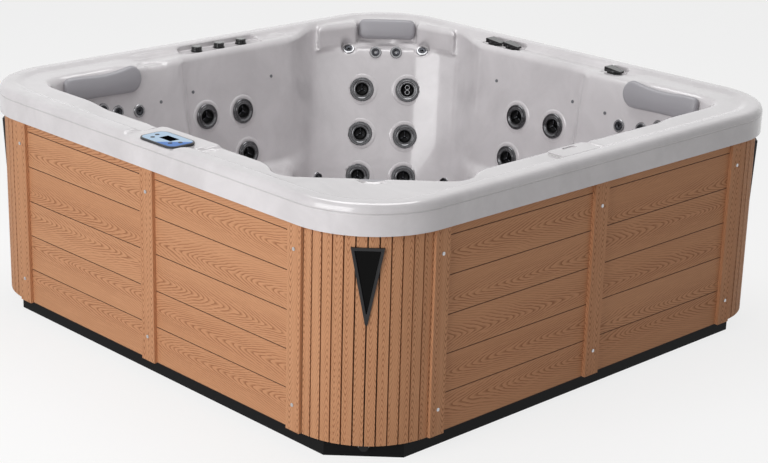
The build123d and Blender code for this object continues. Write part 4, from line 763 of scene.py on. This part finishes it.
# Walls that carry jets and pillows, and each small jet by its wall, its place along it and its height
LEFT_SEAT, RIGHT_SEAT = (180, 946, 10), (90, 946, 10)
LEFT_WING, RIGHT_WING = (180, 1060, 14), (90, 1060, 14)
BACK_SEAT, FRONT_SEAT, NECK_SHELF = (135, 1250, 18), (315, 1110, 18), (135, 1351, 55)
PILLOW_WALL = (135, 1335, 18)
SMALL_JETS = [
    (BACK_SEAT, -48, 777),
    (BACK_SEAT, 46, 779),
    (LEFT_WING, 490, 240),
    (RIGHT_WING, -500, 232),
    (LEFT_SEAT, -738, 767),
    (LEFT_SEAT, -669, 745),
    (LEFT_SEAT, -597, 725),
    (LEFT_SEAT, -493, 713),
    (RIGHT_SEAT, 471, 707),
    (RIGHT_SEAT, 583, 718),
    (RIGHT_SEAT, 665, 743),
    (RIGHT_SEAT, 738, 767),
    (FRONT_SEAT, -150, 640),
    (FRONT_SEAT, -50, 690),
    (FRONT_SEAT, 50, 690),
    (FRONT_SEAT, 150, 640),
    (NECK_SHELF, -172, 785),
    (NECK_SHELF, 165, 785),
]

# The filter's mouth in the wall of the right step, and its hole in the deck: half sizes and depth
FILTER_MOUTH = ((0, 940, 8), 15, 746)
MOUTH_SIZE = (50, 43)
FILTER_HOLE = (1014, -15, DECK)
HOLE_SIZE = (41, 96, 14)


# Grid of the shell's surface, as runs of (start, end, spacing) from the middle out and from low to high
HALF_RUNS = [(0, 384, 16), (384, 544, 10), (544, 864, 14), (864, 1168, 8)]
HEIGHT_RUNS = [(78, 150, 8), (150, 780, 14), (780, 922, 7)]
FARTHEST_STEP = 6
LIP_BAND = 20


def shell_surface():
    """The moulded shell's points and quads, settled onto the field's surface and open below the lip."""
    half_lines = grid_lines(HALF_RUNS)
    across = np.concatenate([-half_lines[:0:-1], half_lines])
    points, quads = surface(shell_field, across, across, grid_lines(HEIGHT_RUNS))
    # A few steps along the field's slope, each of at most the farthest that a point may move
    for _ in range(3):
        value, grad = slopes(shell_field, points)
        step = -(value / np.maximum((grad * grad).sum(1), 0.05))[:, None] * grad
        length = np.linalg.norm(step, axis=1, keepdims=True)
        points = points + step * np.minimum(1, FARTHEST_STEP / np.maximum(length, 1e-6))
    middle = points[quads].mean(1)
    outer = rounded_square(middle[:, 0], middle[:, 1], HALF, HALF, LIP_CORNER)
    return points, quads[~((middle[:, 2] < LIP_BOTTOM) & (outer > -LIP_BAND))]


def lip_edge(points, quads):
    """The lip's lower edge: a flat rim turned in by the lip's wall, and its inner side up to the crease."""
    outer = rounded_square(points[:, 0], points[:, 1], HALF, HALF, LIP_CORNER)
    low = (points[:, 2] < LIP_BOTTOM + 0.5) & (outer > -LIP_BAND)
    points = points.copy()
    points[low, 2] = LIP_BOTTOM
    # The open edges are those that only one quad has
    ends = np.concatenate([quads[:, [i, (i + 1) % 4]] for i in range(4)])
    keys = np.sort(ends, 1) @ np.array([len(points), 1])
    _, first, uses = np.unique(keys, return_index=True, return_counts=True)
    edges = ends[first[uses == 1]]
    edges = edges[low[edges].all(1)]
    ids, index = np.unique(edges, return_inverse=True)
    index = index.reshape(edges.shape)
    rim = points[ids]
    step = 0.5
    away = [
        rounded_square(rim[:, 0] + dx, rim[:, 1] + dy, HALF, HALF, LIP_CORNER)
        - rounded_square(rim[:, 0] - dx, rim[:, 1] - dy, HALF, HALF, LIP_CORNER)
        for dx, dy in ((step, 0), (0, step))
    ]
    out = np.stack(away + [np.zeros(len(rim))], 1)
    out /= np.linalg.norm(out, axis=1, keepdims=True)
    turned = rim - out * LIP_WALL
    raised = turned + np.array([0, 0, CREASE - LIP_BOTTOM])
    base = len(points)
    count = len(ids)
    a, b = index[:, 0], index[:, 1]
    under = np.stack([ids[b], ids[a], base + a, base + b], 1)
    inner = np.stack([base + b, base + a, base + count + a, base + count + b], 1)
    return np.concatenate([points, turned, raised]), np.concatenate([quads, under, inner])


def move_in(name):
    """Where a jet turns and which way it points, in millimetres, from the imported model's joints."""
    found = next(j for j in frame["joints"] if j["child"] == name)
    return Vector(found["pos_m"]) / MM, Vector(found["axis"])


def dress(finish, *names, bevel=0.0):
    """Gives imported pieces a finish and, where asked, softened edges."""
    for name in names:
        piece = frame["nodes"][name]
        piece.data.materials.clear()
        piece.data.materials.append(finishes()[finish])
        if bevel:
            weld = piece.modifiers.new("weld", "WELD")
            weld.merge_threshold = 0.00001
            soft = piece.modifiers.new("bevel", "BEVEL")
            soft.width = bevel * MM
            soft.segments = 2
            soft.angle_limit = math.radians(50)
            soft.harden_normals = True


class HOTTUB_OT_shell(bpy.types.Operator):
    """Moulded acrylic shell: seats, footwell, rolled rim, trays and a moulded ring round every large jet"""

    bl_idname = "hottub.shell"
    bl_label = "Moulded shell"

    def execute(self, context):
        points, quads = shell_surface()
        points, quads = lip_edge(points, quads)
        seats = []
        for name in LARGE_JETS:
            spot, axis = move_in(name)
            seats.append(along_axis(spot - axis * FACE_PROUD, axis))
        for seat in seats:
            points, quads = bore(points, quads, seat, LARGE_HOLE)
        for small_jet in SMALL_JETS:
            points, quads = bore(points, quads, on_wall(*small_jet), SMALL_HOLE)
        points, quads = bore(points, quads, on_wall(*FILTER_MOUTH), *MOUTH_SIZE)
        points, quads = bore(points, quads, np.array(Matrix.Translation(FILTER_HOLE)), *HOLE_SIZE)
        count = len(points)
        points, quads = together([(points, quads)] + [lathe(JET_PAD, seat) for seat in seats])
        shell, used = mesh_of("moulded_shell", points, quads, "acrylic")
        shell.data.update()
        normals = np.zeros(len(used) * 3, np.float32)
        shell.data.vertices.foreach_get("normal", normals)
        normals = normals.reshape(-1, 3)
        # Where the mesh follows the field, the field's slope makes the smoother normal
        moulded = used < count
        _, grad = slopes(shell_field, points[used[moulded]])
        grad /= np.maximum(np.linalg.norm(grad, axis=1, keepdims=True), 1e-6)
        true = (grad * normals[moulded]).sum(1) > 0.5
        normals[np.flatnonzero(moulded)[true]] = grad[true]
        shell.data.normals_split_custom_set_from_vertices(normals.tolist())
        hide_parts("shell")
        return {"FINISHED"}


# Pillows: outline stations are shares of the half length, half heights and drops of the middle line.
# A pillow is its wall, its place along it, its height, its half length, its stations, which way they
# run and the rounds of its two ends.
SIDE_STATIONS = ((-1, -0.8, -0.35, 0.1, 0.5, 0.85, 1), (45, 47, 47, 45, 51, 56, 56), (0, 0, -2, -4, -2, 4, 6))
BACK_STATIONS = ((-1, -0.5, 0, 0.5, 1), (43, 45, 45, 45, 43), (0, 0, 0, 0, 0))
PILLOWS = {
    "left_pillow": (LEFT_SEAT, -660, 847, 186, SIDE_STATIONS, 1, (22, 55)),
    "right_pillow": (RIGHT_SEAT, 660, 847, 186, SIDE_STATIONS, -1, (22, 55)),
    "back_pillow": (PILLOW_WALL, 0, 860, 130, BACK_STATIONS, 1, (26, 26)),
    "front_pillow": (FRONT_SEAT, 0, 826, 130, BACK_STATIONS, 1, (26, 26)),
}
PILLOW_THICKNESS = 34.0
PILLOW_FALL = (7.0, 6.0)
PILLOW_ROUND = 13.0


def pillow_field(half_length, stations, hand, corners):
    """Distance outward from a moulded pillow: a flat back, a crowned face and rounded ends."""
    shares, heights, drops = (np.array(row, float) for row in stations)
    height_curve = np.polyfit(shares, heights, 4)
    drop_curve = np.polyfit(shares, drops, 4)

    def field(u, v, w):
        share = np.clip(u * hand / half_length, -1.05, 1.05)
        half = np.polyval(height_curve, share)
        rise = v - np.polyval(drop_curve, share)
        corner = corners[0] + (corners[1] - corners[0]) * ease(share, -0.2, 0.6)
        face = meet([np.abs(rise) - half, np.abs(u) - half_length], corner)
        crown = PILLOW_THICKNESS - PILLOW_FALL[0] * (rise / half) ** 2 - PILLOW_FALL[1] * share**4
        return meet([face, w - crown, 0.3 - w], PILLOW_ROUND)

    return field


def pillow(name):
    """One pillow on its wall, as a skinned foam moulding."""
    wall_of, along, height, half_length, stations, hand, corners = PILLOWS[name]
    field = pillow_field(half_length, stations, hand, corners)
    lines = [grid_lines([(-r, r, 4)]) for r in (half_length + 10, 74)] + [grid_lines([(-6, 42, 4)])]
    points, quads = surface(field, *lines)
    for _ in range(4):
        value, grad = slopes(field, points, 0.2)
        points = points - (value / np.maximum((grad * grad).sum(1), 0.05))[:, None] * grad
    place_on = on_wall(wall_of, along, height)
    points = points @ place_on[:3, :3].T + place_on[:3, 3]
    made, _ = mesh_of(name + "_foam", points, quads, "pillow_vinyl")
    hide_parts(name)
    return made


def jet_face(name):
    """A large jet's turning face: a chromed ring round a black cup with its nozzle."""
    spot, axis = move_in(name)
    place_on = along_axis(spot, axis)
    ring, cup = lathe(FACE_RING, place_on), lathe(FACE_CUP, place_on)
    made, _ = mesh_of(name + "_face", *together([ring, cup]), "jet_ring", name, "graphite_metal")
    made.data.materials.append(finishes()["nozzle"])
    for face in made.data.polygons:
        face.material_index = int(face.index >= len(ring[1]))
    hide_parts(name)
    if name == DOUBLE_JET:
        finish = "bright_ring"
        shifts = [np.array(Matrix.Translation((0, side * TWIN_SHIFT, 0))) for side in (-1, 1)]
        inside = [lathe(TWIN_NOZZLE, place_on @ shift, 32) for shift in shifts]
        inside += [lathe(profile, place_on) for profile in TWIN_RINGS]
    else:
        finish = "graphite_metal"
        turns = [np.array(Matrix.Rotation(math.radians(120 * turn + 90), 4, "Z")) for turn in range(3)]
        inside = [lathe(NOZZLE, place_on, 32)]
        inside += [bar(*NOZZLE_ARM, place_on @ turn) for turn in turns]
    mesh_of(name + "_nozzle", *together(inside), finish, name, "graphite_metal")


def together(parts):
    """Several sets of points and quads as one."""
    starts = np.cumsum([0] + [len(points) for points, _ in parts])
    points = np.concatenate([points for points, _ in parts])
    return points, np.concatenate([quads + start for (_, quads), start in zip(parts, starts)])


def bar(low, high, matrix):
    """A small box between two corners in a matrix's space, as points and quads."""
    ends = (low, high)
    corners = [[ends[i][0], ends[j][1], ends[k][2]] for i in (0, 1) for j in (0, 1) for k in (0, 1)]
    faces = np.array([[0, 1, 3, 2], [4, 6, 7, 5], [0, 4, 5, 1], [2, 3, 7, 6], [0, 2, 6, 4], [1, 5, 7, 3]])
    return np.array(corners, float) @ matrix[:3, :3].T + matrix[:3, 3], faces


class HOTTUB_OT_jets(bpy.types.Operator):
    """Large jets with chromed turning faces and black cups, and the small jets and waterline lights"""

    bl_idname = "hottub.jets"
    bl_label = "Jets and lights"

    def execute(self, context):
        dress("jet_ring", "large_jet_bodies")
        dress("bright_ring", "small_jets")
        dress("pipe_plastic", "jet_lock_nuts")
        dress("clear_lens", "waterline_lights")
        for name in LARGE_JETS:
            jet_face(name)
        inserts = [lathe(SMALL_INSERT, on_wall(*small_jet), SMALL_INSERT_STEPS) for small_jet in SMALL_JETS]
        mesh_of("small_jet_inserts", *together(inserts), "graphite_metal")
        return {"FINISHED"}


class HOTTUB_OT_pillows(bpy.types.Operator):
    """Four skinned foam pillows, crowned and rounded, on the walls of the corner seats"""

    bl_idname = "hottub.pillows"
    bl_label = "Pillows"

    def execute(self, context):
        for name in PILLOWS:
            pillow(name)
        return {"FINISHED"}


class HOTTUB_OT_cabinet(bpy.types.Operator):
    """Boards, posts and slatted corners in embossed composite, with the pan, screws and corner lights"""

    bl_idname = "hottub.cabinet"
    bl_label = "Cabinet"

    def execute(self, context):
        dress("composite_board", "panel_boards")
        dress("composite_upright", "trim_posts", "corner_slats")
        dress("pan_plastic", "base_pan", "corner_backings")
        dress("timber", "frame")
        dress("stainless", "panel_screws")
        dress("bezel", "corner_light_bezels", bevel=1.0)
        dress("smoked_lens", "corner_light_lenses")
        return {"FINISHED"}


class HOTTUB_OT_controls(bpy.types.Operator):
    """Control panel with its screen and keys, air knobs and diverter levers"""

    bl_idname = "hottub.controls"
    bl_label = "Controls"

    def execute(self, context):
        dress("gloss_black", "air_knob_1", "air_knob_2", "air_knob_3")
        dress("gloss_black", "diverter_lever_1", "diverter_lever_2", "diverter_lever_3")
        dress("black_plastic", "valve_bodies")
        dress("panel_rim", "control_housing")
        dress("overlay_film", "control_overlay")
        dress("screen_glass", "control_screen")
        dress("key_rubber", "warmer_key", "cooler_key", "jets_key", "light_key")
        return {"FINISHED"}


class HOTTUB_OT_services(bpy.types.Operator):
    """Filter, pump, heater, pipes, control box, drain and cable gland"""

    bl_idname = "hottub.services"
    bl_label = "Filter and plumbing"

    def execute(self, context):
        dress("acrylic", "filter_lid")
        dress("white_plastic", "filter_housing", "weir_door")
        dress("pleated_paper", "filter_cartridges")
        dress("foam", "footwell_plinth")
        dress("black_plastic", "suction_covers", "pump_wet_end", "pump_rotor", "drain_cap", "cable_gland")
        dress("motor_paint", "pump_motor")
        dress("pipe_plastic", "suction_pipe", "discharge_pipes", "drain_spigot")
        dress("stainless", "heater")
        dress("grey_plastic", "control_box")
        return {"FINISHED"}


# Lamps by their place and size in metres, all turned to one point in the tub
LAMP_TARGET = Vector((0, 0, 0.5))
LAMPS = {
    "key": ((1.0, -5.8, 2.6), 4.2),
    "top": ((-0.6, 0.4, 4.4), 2.6),
    "side": ((5.4, -1.8, 2.6), 2.4),
}


class HOTTUB_OT_stage(bpy.types.Operator):
    """Pale floor, soft studio lamps and the camera at the photograph's angle"""

    bl_idname = "hottub.stage"
    bl_label = "Stage"

    def execute(self, context):
        settings = context.scene.hottub_stage
        scene = context.scene
        scene.view_settings.view_transform = "Standard"
        floor_mesh = bpy.data.meshes.new("floor")
        reach = settings.floor_reach
        corners = [(-reach, -reach, 0), (reach, -reach, 0), (reach, reach, 0), (-reach, reach, 0)]
        floor_mesh.from_pydata(corners, [], [(0, 1, 2, 3)])
        floor_mesh.materials.append(backdrop(settings))
        floor = bpy.data.objects.new("floor", floor_mesh)
        scene.collection.objects.link(floor)
        world = bpy.data.worlds.new("studio")
        scene.world = world
        world.use_nodes = True
        tree = world.node_tree
        shade = node(tree, "Background", Color=(1, 1, 1, 1), Strength=settings.sky_power)
        white = node(tree, "Background", Color=(1, 1, 1, 1), Strength=1.0)
        both = node(tree, "MixShader", sees_backdrop(tree), shade, white)
        tree.links.new(both.outputs[0], tree.nodes["World Output"].inputs[0])
        for name, (spot, size) in LAMPS.items():
            lamp = bpy.data.lights.new(name + "_lamp", "AREA")
            lamp.energy = getattr(settings, name + "_power")
            lamp.size = size
            made = bpy.data.objects.new(name + "_lamp", lamp)
            scene.collection.objects.link(made)
            made.location = spot
            made.rotation_euler = (LAMP_TARGET - Vector(spot)).to_track_quat("-Z", "Y").to_euler()
        eye = bpy.data.cameras.new("camera")
        camera = bpy.data.objects.new("camera", eye)
        scene.collection.objects.link(camera)
        turn, dip, roll = (math.radians(angle) for angle in CAMERA_ANGLES)
        forward = Vector((-math.sin(turn) * math.cos(dip), math.cos(turn) * math.cos(dip), -math.sin(dip)))
        level = Vector((math.cos(turn), math.sin(turn), 0))
        above = level.cross(forward)
        right = level * math.cos(roll) + above * math.sin(roll)
        up = above * math.cos(roll) - level * math.sin(roll)
        facing = Matrix((right, up, -forward)).transposed().to_4x4()
        camera.matrix_world = Matrix.Translation(CAMERA_PLACE) @ facing
        eye.sensor_width = SENSOR
        eye.lens = settings.lens
        scene.camera = camera
        return {"FINISHED"}


OPERATORS = (
    HOTTUB_OT_shell,
    HOTTUB_OT_jets,
    HOTTUB_OT_pillows,
    HOTTUB_OT_cabinet,
    HOTTUB_OT_controls,
    HOTTUB_OT_services,
    HOTTUB_OT_stage,
)
GROUPS = {
    "hottub_shell": ShellSettings,
    "hottub_cabinet": CabinetSettings,
    "hottub_stage": StageSettings,
}


class HOTTUB_PT_build(bpy.types.Panel):
    """Buttons for each group of pieces, over the sizes and colours they use"""

    bl_idname = "HOTTUB_PT_build"
    bl_label = "Hot tub"
    bl_space_type = "VIEW_3D"
    bl_region_type = "UI"
    bl_category = "Hot tub"

    def draw(self, context):
        for name, group in GROUPS.items():
            box = self.layout.box()
            for key in group.__annotations__:
                box.prop(getattr(context.scene, name), key)
        for step in OPERATORS:
            self.layout.operator(step.bl_idname)


def register():
    """Registers the add-on's classes and hangs its settings on the scene."""
    for made in (*GROUPS.values(), *OPERATORS, HOTTUB_PT_build):
        bpy.utils.register_class(made)
    for name, group in GROUPS.items():
        setattr(bpy.types.Scene, name, PointerProperty(type=group))


def unregister():
    """Takes the settings off the scene and unregisters the classes."""
    for name in GROUPS:
        delattr(bpy.types.Scene, name)
    for made in (HOTTUB_PT_build, *reversed(OPERATORS), *GROUPS.values()):
        bpy.utils.unregister_class(made)


def main():
    """Builds the whole tub."""
    register()
    for step in OPERATORS:
        getattr(bpy.ops.hottub, step.bl_idname.split(".")[1])()


if __name__ == "__main__":
    main()
